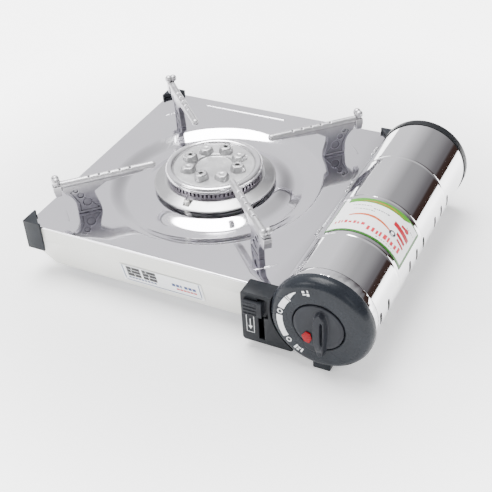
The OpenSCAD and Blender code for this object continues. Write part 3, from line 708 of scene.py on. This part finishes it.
support_alloy, tree, shader = material("support_alloy")
# Pointiness darkens the casting's hollows and recesses and brightens its sharp edges: painted shade in the
# recesses and a painted highlight on the edges.
edges = tree.nodes.new("ShaderNodeMapRange")
edges.inputs["From Min"].default_value = 0.465
edges.inputs["From Max"].default_value = 0.535
wire(tree, tree.nodes.new("ShaderNodeNewGeometry").outputs["Pointiness"], edges.inputs["Value"])
# One casting, two tones by height: the web low down is painted dark as painted shade and the bar up top is
# painted lighter as painted light.
height = tree.nodes.new("ShaderNodeSeparateXYZ")
wire(tree, surface_point(tree), height.inputs[0])
raised = tree.nodes.new("ShaderNodeMapRange")
raised.inputs["From Min"].default_value = plate_z + 20 * MM
raised.inputs["From Max"].default_value = plate_z + 36 * MM
wire(tree, height.outputs["Z"], raised.inputs["Value"])
shaded_web_tone = two_tone(tree, between(tree, blotches(tree, 90, 6), 0, 1), (0.12, 0.116, 0.134),
                    (0.18, 0.175, 0.198))
lit_bar_tone = two_tone(tree, between(tree, blotches(tree, 120, 5), 0, 1), (0.34, 0.335, 0.345),
                    (0.44, 0.435, 0.445))
worn_print_and_height_shade = tree.nodes.new("ShaderNodeMix")
worn_print_and_height_shade.data_type = "RGBA"
wire(tree, raised.outputs["Result"], worn_print_and_height_shade.inputs["Factor"])
wire(tree, shaded_web_tone, worn_print_and_height_shade.inputs["A"])
wire(tree, lit_bar_tone, worn_print_and_height_shade.inputs["B"])
shade = tree.nodes.new("ShaderNodeValToRGB")
shade.color_ramp.elements[0].color = (0.16, 0.16, 0.17, 1)
shade.color_ramp.elements[1].color = (1.9, 1.9, 1.9, 1)
middle = shade.color_ramp.elements.new(0.5)
middle.color = (1, 1, 1, 1)
wire(tree, edges.outputs["Result"], shade.inputs[0])
product = tree.nodes.new("ShaderNodeMix")
product.data_type, product.blend_type = "RGBA", "MULTIPLY"
product.inputs["Factor"].default_value = 1.0
wire(tree, worn_print_and_height_shade.outputs["Result"], product.inputs["A"])
wire(tree, shade.outputs["Color"], product.inputs["B"])
wire(tree, product.outputs["Result"], shader.inputs["Base Color"])
shader.inputs["Metallic"].default_value = 0.85
uneven_gloss(tree, shader, 300, 4, 0.34, 0.50)
relief(tree, shader, (blotches(tree, 1400, 3), 0.00005), (blotches(tree, 260, 4), 0.00012))
for node, body in (("support_front_left", "support_fl"), ("support_front_right", "support_fr"),
                   ("support_back_left", "support_bl"), ("support_back_right", "support_br")):
    dressed(cast_copy(node, node + "_casting", 0.36 * MM, 3), support_alloy, body,
            [node], 60)
dressed(rounded_copy("support_sockets", "pivot_sockets", 0.4 * MM, 2), plated_steel, "chassis",
        ["support_sockets"])


# ---------------------------------------------------------------------------------------------
# Corner guards and feet: moulded black plastic caps that clip over three corners of the box and
# stand a little above the plate, and four rubber feet pushed into the floor pan.
def moulded(name, dark, light, rough_low, rough_high, grain):
    made, tree, shader = material(name)
    mottled(tree, shader, 45, 5, dark, light)
    uneven_gloss(tree, shader, 160, 4, rough_low, rough_high)
    shader.inputs["Specular IOR Level"].default_value = 0.16
    relief(tree, shader, (blotches(tree, 2200, 2), grain), (blotches(tree, 30, 2), 0.00003))
    return made


guard_plastic = moulded("guard_plastic", (0.014, 0.016, 0.019), (0.024, 0.027, 0.032), 0.30, 0.42, 0.00003)
for node in ("guard_front_left", "guard_back_left", "guard_back_right"):
    dressed(rounded_copy(node, node + "_cap", 0.6 * MM, 3), guard_plastic, "chassis", [node])
rubber = moulded("rubber", (0.014, 0.014, 0.014), (0.024, 0.024, 0.024), 0.6, 0.8, 0.00008)
dressed(rounded_copy("feet", "rubber_feet", 0.8 * MM, 3), rubber, "chassis", ["feet"])


# ---------------------------------------------------------------------------------------------
# Front name plate: a white printed film on the leaning front wall. Its print is generic: dark
# blocks, a rule under them, small coloured bars and a blue line round three sides.
def printed(name, colour, worn_print_and_height_shade, rough=0.45):
    made, tree, shader = material(name)
    mottled(tree, shader, 380, 5, colour, worn_print_and_height_shade)
    uneven_gloss(tree, shader, 200, 3, rough * 0.8, rough * 1.2)
    relief(tree, shader, (blotches(tree, 1200, 2), 0.000015))
    return made


def bar(u0, u1, v0, v1, steps=1):
    return [(u0 + (u1 - u0) * i / steps, v0, v1) for i in range(steps + 1)]


def dot(u, v, ru, rv, steps=14):
    turns = [math.pi * i / steps for i in range(steps + 1)]
    return [(u - ru * math.cos(t), v - rv * math.sin(t) - 1e-6, v + rv * math.sin(t) + 1e-6) for t in turns]


def marks_on(name, marks, place, finish, body, lift=0.06 * MM, replaces=()):
    """Thin marks on a surface: each is a row of (u, v from, v to), and place(u, v, lift) is the surface."""
    points, faces = [], []
    for rows in marks:
        base = len(points)
        for u, v0, v1 in rows:
            points += [place(u, v0, lift), place(u, v1, lift), place(u, v1, 0), place(u, v0, 0)]
        for i in range(len(rows) - 1):
            a, b = base + 4 * i, base + 4 * i + 4
            faces += [(a + k, a + (k + 1) % 4, b + (k + 1) % 4, b + k) for k in range(4)]
        faces += [(base, base + 1, base + 2, base + 3), tuple(base + 4 * (len(rows) - 1) + k
                                                              for k in (3, 2, 1, 0))]
    return piece(name, points, faces, finish, body, replaces, 30)


film_low, film_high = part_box("front_plate")
film_along = Vector((0, film_high.y - film_low.y - 0.6 * MM, -(film_high.z - film_low.z))).normalized()
film_out = Vector((0, film_along.z, -film_along.y))
film_top = Vector((film_low.x, film_low.y + 0.02 * MM, film_high.z - 0.1 * MM))


def on_film(u, v, lift):
    """u from the film's left edge, v down from its top edge, in metres."""
    return film_top + Vector((u, 0, 0)) + film_along * v + film_out * (lift - 0.05 * MM)


film_w = film_high.x - film_low.x
film_h = (film_high.z - film_low.z) / -film_along.z - 0.3 * MM
film_white = printed("film_white", (0.83, 0.85, 0.87), (0.88, 0.89, 0.90))
film_blue = printed("film_blue", (0.008, 0.03, 0.14), (0.014, 0.045, 0.18))
film_black = printed("film_black", (0.001, 0.001, 0.002), (0.004, 0.004, 0.005))
film_red = printed("film_red", (0.45, 0.006, 0.015), (0.52, 0.012, 0.022))
marks_on("film", [bar(0, film_w, 0, film_h)], on_film, film_white, "chassis", 0.12 * MM,
         ["front_plate"])
line = 0.9 * MM
inset = 2.2 * MM
frame_marks = [bar(inset, inset + line, 1 * MM, film_h - 4 * MM),
               bar(film_w - inset - line, film_w - inset, 1 * MM, film_h - 4 * MM),
               bar(inset + 3 * MM, film_w - inset - 3 * MM, film_h - 1.9 * MM, film_h - 1.0 * MM)]
for centre_u, side_sign in ((inset + 3.0 * MM, -1), (film_w - inset - 3.0 * MM, 1)):
    bend = []
    for i in range(9):
        t = math.pi / 2 * i / 8
        bend.append((centre_u + side_sign * 3.0 * MM * math.sin(t), t))
    frame_marks.append([(u, film_h - 4 * MM + 2.1 * MM * math.cos(t) - 0.02 * MM,
                         film_h - 4 * MM + 3.0 * MM * math.cos(t)) for u, t in bend])
marks_on("film_frame", frame_marks, on_film, film_blue, "chassis", 0.2 * MM)
blocks = random.Random(7)
block_w, block_gap, block_step = 14.6 * MM, 0.6 * MM, 4.6 * MM
block_marks = []
for left in (6.5 * MM, 23.5 * MM):
    for row, tall in enumerate((4.1, 4.0, 4.2)):
        v = 1.4 * MM + block_step * row
        split = blocks.uniform(3.5, 9.5) * MM
        block_marks += [bar(left, left + split, v, v + tall * MM),
                        bar(left + split + block_gap, left + block_w, v + 0.1 * MM, v + tall * MM)]
marks_on("film_blocks", block_marks, on_film, film_black, "chassis", 0.2 * MM)
marks_on("film_rules", [bar((6.5 + 3.4 * i) * MM, (9.1 + 3.4 * i) * MM, 16.2 * MM, 18.2 * MM)
                        for i in range(9)]
         + [bar((54 + 4.3 * i) * MM, (54 + 4.3 * i + (3.4 if i != 2 else 1.6)) * MM, 9.0 * MM, 12.8 * MM)
            for i in range(6)],
         on_film, film_blue, "chassis", 0.2 * MM)
marks_on("film_bars", [bar((58 + 3.6 * i) * MM, (61 + 3.6 * i) * MM, 14.8 * MM, 17.0 * MM) for i in range(6)],
         on_film, film_red, "chassis", 0.2 * MM)


# ---------------------------------------------------------------------------------------------
# Cartridge compartment: a stainless trough and a full collar behind the dial carry a mirror
# polished cover with three pressed ribs, slotted along its outer side and hinged at the plate.
collar_low, collar_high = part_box("front_collar")
bay_r = (collar_high.x - collar_low.x) / 2
bay_x = (collar_low.x + collar_high.x) / 2
bay_z = collar_high.z - bay_r
cover_steel = polished("cover_steel", (0.86, 0.855, 0.87), 0.03, 0.09)
trough_steel = polished("trough_steel", (0.82, 0.82, 0.83), 0.05, 0.12)


def shade_inside(finish):
    """Paints the inside of a polished compartment part dark, as painted shade in the closed compartment, and
    makes it rough.
    """
    tree = finish.node_tree
    shader = tree.nodes["Principled BSDF"]
    flat = tree.nodes.new("ShaderNodeVectorMath")
    flat.operation = "MULTIPLY"
    flat.inputs[1].default_value = (1, 0, 1)
    wire(tree, surface_point(tree), flat.inputs[0])
    away = tree.nodes.new("ShaderNodeVectorMath")
    away.operation = "DISTANCE"
    away.inputs[1].default_value = (bay_x, 0, bay_z)
    wire(tree, flat.outputs[0], away.inputs[0])
    inside = tree.nodes.new("ShaderNodeMapRange")
    inside.inputs["From Min"].default_value = bay_r - 0.4 * MM
    inside.inputs["From Max"].default_value = bay_r - 0.8 * MM
    wire(tree, away.outputs["Value"], inside.inputs["Value"])
    # The inside's dark base colour is painted shade; the roughness of 0.5 is the inside's duller surface.
    for socket, inside_shade_and_roughness in (("Base Color", (0.055, 0.055, 0.06, 1)), ("Roughness", (0.5, 0.5, 0.5, 1))):
        outer = shader.inputs[socket].links[0].from_socket
        mix = tree.nodes.new("ShaderNodeMix")
        mix.data_type = "RGBA"
        mix.inputs["B"].default_value = inside_shade_and_roughness
        wire(tree, inside.outputs["Result"], mix.inputs["Factor"])
        wire(tree, outer, mix.inputs["A"])
        wire(tree, mix.outputs["Result"], shader.inputs[socket])


shade_inside(cover_steel)
shade_inside(trough_steel)
dressed(rounded_copy("bay_trough", "trough", 0.25 * MM, 2), trough_steel, "chassis",
        ["bay_trough"], 30)
dressed(rounded_copy("front_collar", "collar", 0.35 * MM, 2), cover_steel, "chassis",
        ["front_collar"], 30)
cover_low, cover_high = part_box("cover_shell")
skin_t = 1.2 * MM


def around(t, r, y):
    return Vector((bay_x + r * math.cos(t), y, bay_z + r * math.sin(t)))


t_low = math.asin((cover_low.z - bay_z) / bay_r)
t_high = math.pi - math.asin((plate_z + 3.2 * MM - bay_z) / bay_r)
rib_at = [burner.y + y * MM for y in (-81, -19, 51)]
rib_lift, rib_w = 0.32 * MM, 1.2 * MM
stations = {cover_low.y, cover_high.y}
for rib in rib_at:
    stations |= {rib + 0.3 * MM * k for k in range(-10, 11)}
stations |= {cover_low.y + (cover_high.y - cover_low.y) * k / 40 for k in range(41)}
stations = sorted(s for s in stations if cover_low.y <= s <= cover_high.y)
cut_y, cut_z = 53 * MM, 83 * MM
rings = []
for i in range(201):
    t = t_low + (t_high - t_low) * i / 200
    z = bay_z + bay_r * math.sin(t)
    first = cover_low.y
    if t > math.pi / 2 and z < cut_z:
        first += cut_y * (cut_z - z) / (cut_z - plate_z - 3.2 * MM)
    fade = ease((math.degrees(t) - 2) / 5) * ease((141 - math.degrees(t)) / 6)
    row = []
    for y in stations:
        at_y = max(y, first)
        lift = 0
        for rib in rib_at:
            lift += rib_lift * math.exp(-((at_y - rib) / rib_w) ** 2)
        row.append(around(t, bay_r + lift * fade - 0.05 * MM, at_y))
    rings.append(row)


def raw(name, points, faces):
    mesh = bpy.data.meshes.new(name)
    mesh.from_pydata([tuple(p) for p in points], [], faces)
    made = bpy.data.objects.new(name, mesh)
    bpy.context.scene.collection.objects.link(made)
    edit = bmesh.new()
    edit.from_mesh(mesh)
    bmesh.ops.remove_doubles(edit, verts=edit.verts, dist=2e-5)
    edit.to_mesh(mesh)
    edit.free()
    return made


cover = raw("cover_sheet", [p for row in rings for p in row], skin(rings, False))
thick = cover.modifiers.new("thickness", "SOLIDIFY")
thick.thickness, thick.offset = skin_t, -1
settle(cover)
vent_points, vent_faces = [], []
vent_r, vent_half, vent_step, vent_angle = 2.3 * MM, 3.6 * MM, 19 * MM, math.radians(2)
vent_groups = [burner.y + y * MM for y in (-145, -52, 20)]
out = Vector((math.cos(vent_angle), 0, math.sin(vent_angle)))
tall = Vector((-out.z, 0, out.x))
for group in vent_groups:
    for i in range(3):
        centre = Vector((bay_x, group + vent_step * i, bay_z))
        base = len(vent_points)
        loop = []
        for k in range(24):
            t = k * math.tau / 24
            end = vent_half if math.sin(t) >= 0 else -vent_half
            loop.append(Vector((0, vent_r * math.cos(t), 0)) + tall * (vent_r * math.sin(t) + end))
        for reach in (bay_r - 5 * MM, bay_r + 5 * MM):
            vent_points += [centre + out * reach + p for p in loop]
        vent_faces += [tuple(base + k for k in range(24)), tuple(base + 24 + k for k in range(24))]
        vent_faces += [(base + k, base + (k + 1) % 24, base + 24 + (k + 1) % 24, base + 24 + k)
                       for k in range(24)]
carve(cover, vent_points, vent_faces)
dressed(cover, cover_steel, "cover", ["cover_shell"], 35)
hinge_low, hinge_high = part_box("hinge_pin")
hinge = (hinge_low + hinge_high) / 2
for number, start in enumerate((-52, 24, 96)):
    y0 = burner.y + start * MM
    knuckle = rounded_outline([(1.25 * MM, y0), (2.45 * MM, y0), (2.45 * MM, y0 + 5.8 * MM),
                               (1.25 * MM, y0 + 5.8 * MM)],
                              0.3 * MM, 2)
    points, faces = turned(knuckle, (hinge.x, hinge.z), 32, "Y")
    piece(f"cover_knuckle_{number + 1}", points, faces, cover_steel, "cover")
dressed(rounded_copy("hinge_pin", "pin", 0.2 * MM, 2), plated_steel, "chassis", ["hinge_pin"])


# ---------------------------------------------------------------------------------------------
# Cover label: a printed film over the middle of the cover. A green edge, thicker at the back
# with a tan stripe in it, holds rows of small generic bars, a curved line, a round badge.
label_low, label_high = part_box("cover_label")
label_y0, label_y1 = label_low.y, label_high.y
label_t0 = math.radians(20)


def on_cover(u, v, lift):
    """u round the cover in degrees from its outer edge, v along it from the label's front edge."""
    return around(label_t0 + math.radians(u), bay_r + 0.05 * MM + lift, label_y0 + v)


label_span, label_len = 108.0, label_y1 - label_y0
label_white = printed("label_white", (0.93, 0.94, 0.94), (0.96, 0.965, 0.96), 0.4)
label_green = printed("label_green", (0.018, 0.11, 0.008), (0.03, 0.15, 0.014), 0.35)
label_lime = printed("label_lime", (0.05, 0.24, 0.01), (0.07, 0.29, 0.016), 0.35)
label_tan = printed("label_tan", (0.26, 0.13, 0.015), (0.34, 0.18, 0.03), 0.4)
label_orange = printed("label_orange", (0.55, 0.08, 0.01), (0.62, 0.12, 0.025), 0.4)
label_pink = printed("label_pink", (0.52, 0.012, 0.03), (0.60, 0.03, 0.05), 0.4)
label_red = printed("label_red", (0.38, 0.001, 0.012), (0.44, 0.004, 0.02), 0.4)
label_grey = printed("label_grey", (0.10, 0.105, 0.12), (0.18, 0.185, 0.20), 0.4)
label_dark = printed("label_dark", (0.01, 0.012, 0.02), (0.02, 0.025, 0.04), 0.4)
film_lift, edge_lift, ink_lift, top_ink_lift, centre_lift = (k * MM for k in (0.22, 0.27, 0.29, 0.31, 0.33))


def label_print(name, marks, finish, lift, replaces=()):
    """One colour of the label's print, as thin marks that lie on the cover."""
    marks_on(name, marks, on_cover, finish, "cover", lift, replaces)


label_print("label_film", [bar(0, label_span, 0, label_len, 50)], label_white, film_lift, ["cover_label"])
label_print("label_edge", [bar(0, label_span, 0, 2.8 * MM, 50), bar(0, 3.4, 2.8 * MM, label_len, 3),
                           bar(label_span - 1.4, label_span, 2.6 * MM, label_len, 2),
                           bar(2.2, 20, label_len - 1.6 * MM, label_len, 10)], label_green, edge_lift)
band = []
for k in range(41):
    band.append((20 + 80 * k / 40, label_len - (2.6 + 3.4 * min(1, k / 4)) * MM, label_len))
label_print("label_band", [band], label_lime, edge_lift)
stripe = []
for k in range(31):
    swell = 2.0 * math.sin(math.pi * k / 30)
    stripe.append((26 + 60 * k / 30, label_len - 4.5 * MM, label_len - (4.4 - swell) * MM))
label_print("label_stripe", [stripe], label_tan, top_ink_lift)
arch = []
for k in range(41):
    bow, rise = math.sin(math.pi * k / 40), 2.2 * k / 40
    arch.append((36 + 52 * k / 40, (21.2 + 4.0 * bow + rise) * MM, (23.0 + 5.0 * bow + rise) * MM))
label_print("label_arch", [arch], label_orange, ink_lift)
ink = random.Random(11)


def scatter(u0, u1, v, tall, wide, space):
    """A row of small bars of uneven width and height."""
    made, u = [], u0
    while u < u1:
        w = ink.uniform(*wide)
        made.append(bar(u, u + w, (v + ink.uniform(-0.3, 0.3)) * MM, (v + ink.uniform(*tall)) * MM, 2))
        u += w + ink.uniform(*space)
    return made


large_rows = scatter(14, 62, 8.0, (4.6, 7.2), (2.2, 4.2), (1.6, 3.4))
large_rows += scatter(64, 100, 12.0, (2.8, 4.2), (1.8, 3.8), (1.2, 3.0))
label_print("label_rows", large_rows, label_pink, ink_lift)
fine_rows = []
for u0, u1, v, tall, wide, space in ((45, 62, 38, (0.9, 1.6), (1.2, 3), (0.6, 1.2)),
                                     (62, 86, 34.5, (0.8, 1.3), (1.2, 3), (0.6, 1.2)),
                                     (68, 92, 40.5, (0.7, 1.1), (1.2, 3), (0.8, 1.6)),
                                     (20, 48, 5.2, (0.6, 1.0), (1, 2.4), (0.8, 2.2)),
                                     (6, 22, 41.5, (0.6, 0.9), (1.2, 2.6), (0.8, 2.0))):
    fine_rows += scatter(u0, u1, v, tall, wide, space)
label_print("label_lines", fine_rows, label_grey, ink_lift)
slants = [[(u0 + 2.6 * k, (v0 + 0.5 * k) * MM, (v0 + tall + 0.5 * k) * MM) for k in range(steps)]
          for u0, v0, tall, steps in ((10, 27.0, 5.4, 11), (12, 21.2, 3.6, 7), (11, 16.4, 2.6, 6))]
slants += [dot(18, 38.0 * MM, 3.4, 2.6 * MM), bar(21, 27, 36.6 * MM, 39.6 * MM, 3)]
label_print("label_slants", slants, label_red, ink_lift)
label_print("label_badge", [dot(32, 21.5 * MM, 4.6, 3.4 * MM)], label_dark, ink_lift)
label_print("label_badge_centre", [dot(32, 22.0 * MM, 2.2, 1.6 * MM),
                                   bar(29.4, 34.6, 18.9 * MM, 19.7 * MM, 2)], label_white, centre_lift)


# ---------------------------------------------------------------------------------------------
# Rear cap: a moulded black plastic disc with a rounded rim that closes the back of the
# compartment. The foot under it is part of the same moulding.
cap_plastic = moulded("cap_plastic", (0.008, 0.009, 0.010), (0.014, 0.015, 0.017), 0.28, 0.42, 0.00004)
dressed(rounded_copy("rear_cap", "back_cap", 0.9 * MM, 3, 20), cap_plastic, "chassis",
        ["rear_cap"], 35)


# ---------------------------------------------------------------------------------------------
# Dial housing: a dark grey moulding with a flat face, a domed rim and a foot, printed in white
# with an opening scale, two round marks and plain ticks.
dial_plastic = moulded("dial_plastic", (0.012, 0.014, 0.018), (0.018, 0.021, 0.026), 0.24, 0.32, 0.000008)
dial_low, dial_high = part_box("dial_housing")
face_y, dial_r = dial_low.y, (dial_high.x - dial_low.x) / 2
well_r = 23.4 * MM
profile = [(5.0 * MM, face_y + 5 * MM), (well_r - 0.6 * MM, face_y + 5 * MM), (well_r, face_y + 0.7 * MM),
           (well_r + 0.9 * MM, face_y), (dial_r - 11 * MM, face_y), (dial_r - 6 * MM, face_y + 0.6 * MM),
           (dial_r - 2.4 * MM, face_y + 2.9 * MM), (dial_r, face_y + 7.5 * MM), (dial_r, face_y + 13.4 * MM),
           (42.7 * MM, face_y + 13.4 * MM), (42.7 * MM, face_y + 16 * MM), (40.3 * MM, face_y + 16 * MM),
           (40.3 * MM, face_y + 10 * MM), (27 * MM, face_y + 10 * MM), (27 * MM, face_y + 12 * MM),
           (5 * MM, face_y + 12 * MM)]
points, faces = turned(rounded_outline(profile, 1.8 * MM, 5), (bay_x, bay_z), 160, "Y")
dial = raw("dial_moulding", points, faces)
notch, notch_angle = [], math.radians(-52)
notch_across = Vector((-math.sin(notch_angle), 0, math.cos(notch_angle)))
for y in (face_y - 1 * MM, face_y + 4.4 * MM):
    for a, b in ((-1, -1), (1, -1), (1, 1), (-1, 1)):
        notch.append(around(notch_angle, dial_r - 1 * MM + 3 * MM * a, y) + notch_across * 2.6 * MM * b)
carve(dial, notch, block_faces)
dressed(dial, dial_plastic, "chassis", ["dial_housing"], 45)


def soft_block(name, low, high, radius, finish, body):
    """A small moulded foot or lug with rounded edges, given by two opposite corners."""
    corners = [(x, y, z) for z in (low[2], high[2]) for x, y in
               ((low[0], low[1]), (high[0], low[1]), (high[0], high[1]), (low[0], high[1]))]
    made = raw(name, corners, [(3, 2, 1, 0), (4, 5, 6, 7), (0, 1, 5, 4), (1, 2, 6, 5), (2, 3, 7, 6),
                               (3, 0, 4, 7)])
    round_off = made.modifiers.new("rounding", "BEVEL")
    round_off.width, round_off.segments, round_off.limit_method = radius, 3, "NONE"
    return dressed(settle(made), finish, body)


soft_block("dial_foot", (bay_x - 7 * MM, face_y + 3 * MM, 0), (bay_x + 9 * MM, face_y + 11 * MM, 9 * MM),
           1.2 * MM, dial_plastic, "chassis")
print_white = printed("print_white", (0.72, 0.73, 0.74), (0.84, 0.85, 0.86), 0.5)


def on_dial(u, v, lift):
    """u in degrees anticlockwise from the right, seen from the front; v is the radius."""
    return Vector((bay_x + v * math.cos(math.radians(u)), face_y - lift,
                   bay_z + v * math.sin(math.radians(u))))


def arc(u0, u1, v0, v1, steps=16, v2=None):
    """A ring segment whose inner radius may run from v0 to v2."""
    v2 = v0 if v2 is None else v2
    return [(u0 + (u1 - u0) * i / steps, v0 + (v2 - v0) * i / steps, v1) for i in range(steps + 1)]


def ring_mark(u, v, r_out, r_in):
    """A small round outline mark at an angle and radius, as an upper and a lower half."""
    made = []
    degree = math.degrees(1 / v)
    for sign in (1, -1):
        rows = []
        for k in range(13):
            t = math.pi * k / 12
            x = -r_out * math.cos(t)
            inner = math.sqrt(max(r_in ** 2 - x ** 2, 0))
            edge_low, edge_high = sorted((sign * inner, sign * r_out * math.sin(t)))
            rows.append((u + x * degree, v + edge_low - 1e-6, v + edge_high + 1e-6))
        made.append(rows)
    return made


scale = [arc(122, 137, 36.6 * MM, 37.4 * MM, 12, 33.6 * MM), arc(138.6, 140.4, 31.8 * MM, 37.8 * MM, 2),
         arc(142, 162, 32.2 * MM, 37.6 * MM), arc(175.5, 212.5, 32.2 * MM, 37.6 * MM, 24)]
scale += ring_mark(168.6, 34.9 * MM, 2.5 * MM, 1.5 * MM) + ring_mark(219.6, 34.9 * MM, 2.5 * MM, 1.5 * MM)
scale += [arc(103, 107, 32 * MM, 34.4 * MM, 4), arc(103.4, 105, 35.4 * MM, 37.6 * MM, 3),
          arc(108.4, 113, 33 * MM, 34.2 * MM, 4), arc(109, 112.6, 35.2 * MM, 37.2 * MM, 4),
          arc(232, 235, 32 * MM, 37 * MM, 4), arc(236.4, 241, 32.6 * MM, 34 * MM, 4),
          arc(236.4, 240, 35 * MM, 37 * MM, 4), arc(242.4, 245, 32 * MM, 36.6 * MM, 4)]
marks_on("dial_scale", scale, on_dial, print_white, "chassis", 0.06 * MM)


# ---------------------------------------------------------------------------------------------
# Knob: a dark moulding in the housing's well, with a grooved, leaf-shaped grip across it and a
# lobe at the bottom. A red pointer is set beside the grip, and the knob sits on a brass spindle.
knob_plastic = moulded("knob_plastic", (0.012, 0.013, 0.017), (0.018, 0.020, 0.025), 0.28, 0.38, 0.000012)
knob_r = 22.5 * MM


def knob_edge(t):
    """The knob's radius in a direction, in degrees: a circle with a lobe at the bottom."""
    off = abs((t - 262 + 180) % 360 - 180)
    return knob_r + 6.0 * MM * ease((29 - off) / 13)


def knob_relief(x, z):
    """Height of the knob in front of the housing's face, in metres."""
    across, along = x / MM - 2.6, z / MM
    if along > 0:
        half = 6.4 * math.sqrt(max(0.0, 1 - (along / 18.6) ** 3))
    else:
        half = (6.4 - 1.8 * ease(-along / 27)) * math.sqrt(max(0.0, 1 - (min(-along, 29.0) / 29.0) ** 10))
    body = 1.0 * MM - 0.6 * MM * ease((math.hypot(x, z) / MM - 19) / 4)
    if half <= 0.05:
        return body
    side = ease((half - abs(across) + 0.5) / 2.6)
    crown = 6.5 * (1 - 0.12 * (across / 7) ** 2) * (0.72 + 0.28 * ease((24 - abs(along + 3)) / 16))
    groove = 3.0 * math.exp(-((across - 2.4) / 1.0) ** 2) * ease((15 - abs(along + 2)) / 6)
    return body + (crown * side - groove) * MM


steps_t, steps_r = 288, 72
grid = []
for i in range(steps_r + 1):
    share = i / steps_r
    ring = []
    for k in range(steps_t):
        t = 360 * k / steps_t
        r = knob_edge(t) * share
        x, z = r * math.cos(math.radians(t)), r * math.sin(math.radians(t))
        lift = knob_relief(x, z)
        if share > 0.97:
            lift -= 0.5 * MM * ((share - 0.97) / 0.03) ** 2
        ring.append(Vector((bay_x + x, face_y - max(lift, -0.2 * MM), bay_z + z)))
    grid.append(ring)
rim = [Vector((p.x, face_y + 4.0 * MM if math.hypot(p.x - bay_x, p.z - bay_z) < knob_r + 0.4 * MM
               else face_y - 0.12 * MM, p.z))
       for p in grid[-1]]
grid.append(rim)
points = [p for ring in grid for p in ring] + [Vector((bay_x, face_y + 4.0 * MM, bay_z))]
faces = skin(grid)
last = (steps_r + 1) * steps_t
faces += [(last + k, last + (k + 1) % steps_t, len(points) - 1) for k in range(steps_t)]
knob = raw("knob_moulding", points, faces)
dressed(knob, knob_plastic, "dial", ["knob"], 50)
pointer_red = moulded("pointer_red", (0.19, 0.0, 0.003), (0.27, 0.001, 0.006), 0.22, 0.34, 0.00002)
pointer = []
for lift in (0.2 * MM, 1.7 * MM):
    for x, z in ((-12.4, -17.6), (-7.6, -18.6), (-5.2, -13.0), (-6.2, -7.6), (-10.6, -6.4), (-14.6, -11.6)):
        pointer.append((bay_x + x * MM, face_y - 0.6 * MM - lift, bay_z + z * MM))
flag = raw("pointer", pointer, [tuple(range(6)), tuple(range(11, 5, -1))]
           + [(k, k + 6, (k + 1) % 6 + 6, (k + 1) % 6) for k in range(6)])
soften = flag.modifiers.new("rounding", "BEVEL")
soften.width, soften.segments, soften.limit_method = 1.1 * MM, 5, "NONE"
dressed(settle(flag), pointer_red, "dial", ["knob_pointer"])
brass = cast("brass", (0.62, 0.43, 0.16), (0.78, 0.58, 0.26), 0.22, 0.38, 0.00002)
dressed(rounded_copy("valve_spindle", "spindle", 0.4 * MM, 2), brass, "dial", ["valve_spindle"])


# ---------------------------------------------------------------------------------------------
# Lever housing: a satin black moulding beside the dial with a slot for the locking lever and a
# small white outline mark. The lever has a stepped, ridged finger pad.
lever_plastic = moulded("lever_plastic", (0.007, 0.008, 0.010), (0.013, 0.015, 0.018), 0.34, 0.48, 0.00005)
pad_plastic = moulded("pad_plastic", (0.012, 0.013, 0.016), (0.020, 0.022, 0.026), 0.32, 0.46, 0.00005)
dressed(rounded_copy("lever_housing", "lever_case", 0.7 * MM, 3), lever_plastic, "chassis",
        ["lever_housing"], 35)
dressed(rounded_copy("lever", "lever_slider", 0.35 * MM, 3), pad_plastic, "lock_lever",
        ["lever"], 35)
case_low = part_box("lever_housing")[0]


def on_case(u, v, lift):
    """u from the case's left edge and v from its lower edge, in metres, on its front face."""
    return Vector((case_low.x + u, case_low.y - lift, case_low.z + v))


stroke = 0.45 * MM
sign = []
for u0, u1, v0, v1 in ((4.4, 12.0, 10.0, 29.0), (6.2, 10.2, 29.0, 31.0)):
    u0, u1, v0, v1 = (value * MM for value in (u0, u1, v0, v1))
    sign += [bar(u0, u1, v0, v0 + stroke), bar(u0, u1, v1 - stroke, v1), bar(u0, u0 + stroke, v0, v1),
             bar(u1 - stroke, u1, v0, v1)]
sign += [bar(7.9 * MM, 8.5 * MM, 17 * MM, 25 * MM), [(6.4 * MM, 17 * MM, 17.3 * MM),
                                                     (8.2 * MM, 13.6 * MM, 17.3 * MM),
                                                    (10.0 * MM, 17 * MM, 17.3 * MM)]]
marks_on("case_sign", sign, on_case, print_white, "chassis", 0.05 * MM)


# ---------------------------------------------------------------------------------------------
# Inside the compartment: steel cradle, guide plate and pusher, a zinc regulator with its brass
# pipe and jet to the mixing tube, and the igniter's black unit above them.
zinc = cast("zinc", (0.48, 0.47, 0.45), (0.62, 0.61, 0.58), 0.34, 0.52, 0.00006)
for node, name, radius, finish, body, slot in (
        ("cartridge_cradle", "cradle", 0.3, plated_steel, "chassis", "plain_steel"),
        ("guide_plate", "guide", 0.3, plated_steel, "chassis", "plain_steel"),
        ("cartridge_pusher", "pusher_strap", 0.3, plated_steel, "pusher", "plain_steel"),
        ("regulator", "regulator_body", 0.6, zinc, "chassis", "zinc_casting"),
        ("gas_pipe", "pipe", 0.3, brass, "chassis", "brass"),
        ("gas_jet", "jet", 0.2, brass, "chassis", "brass"),
        ("piezo_igniter", "igniter_unit", 0.5, guard_plastic, "chassis", "black_plastic")):
    dressed(rounded_copy(node, name, radius * MM, 2), finish, body, [node])
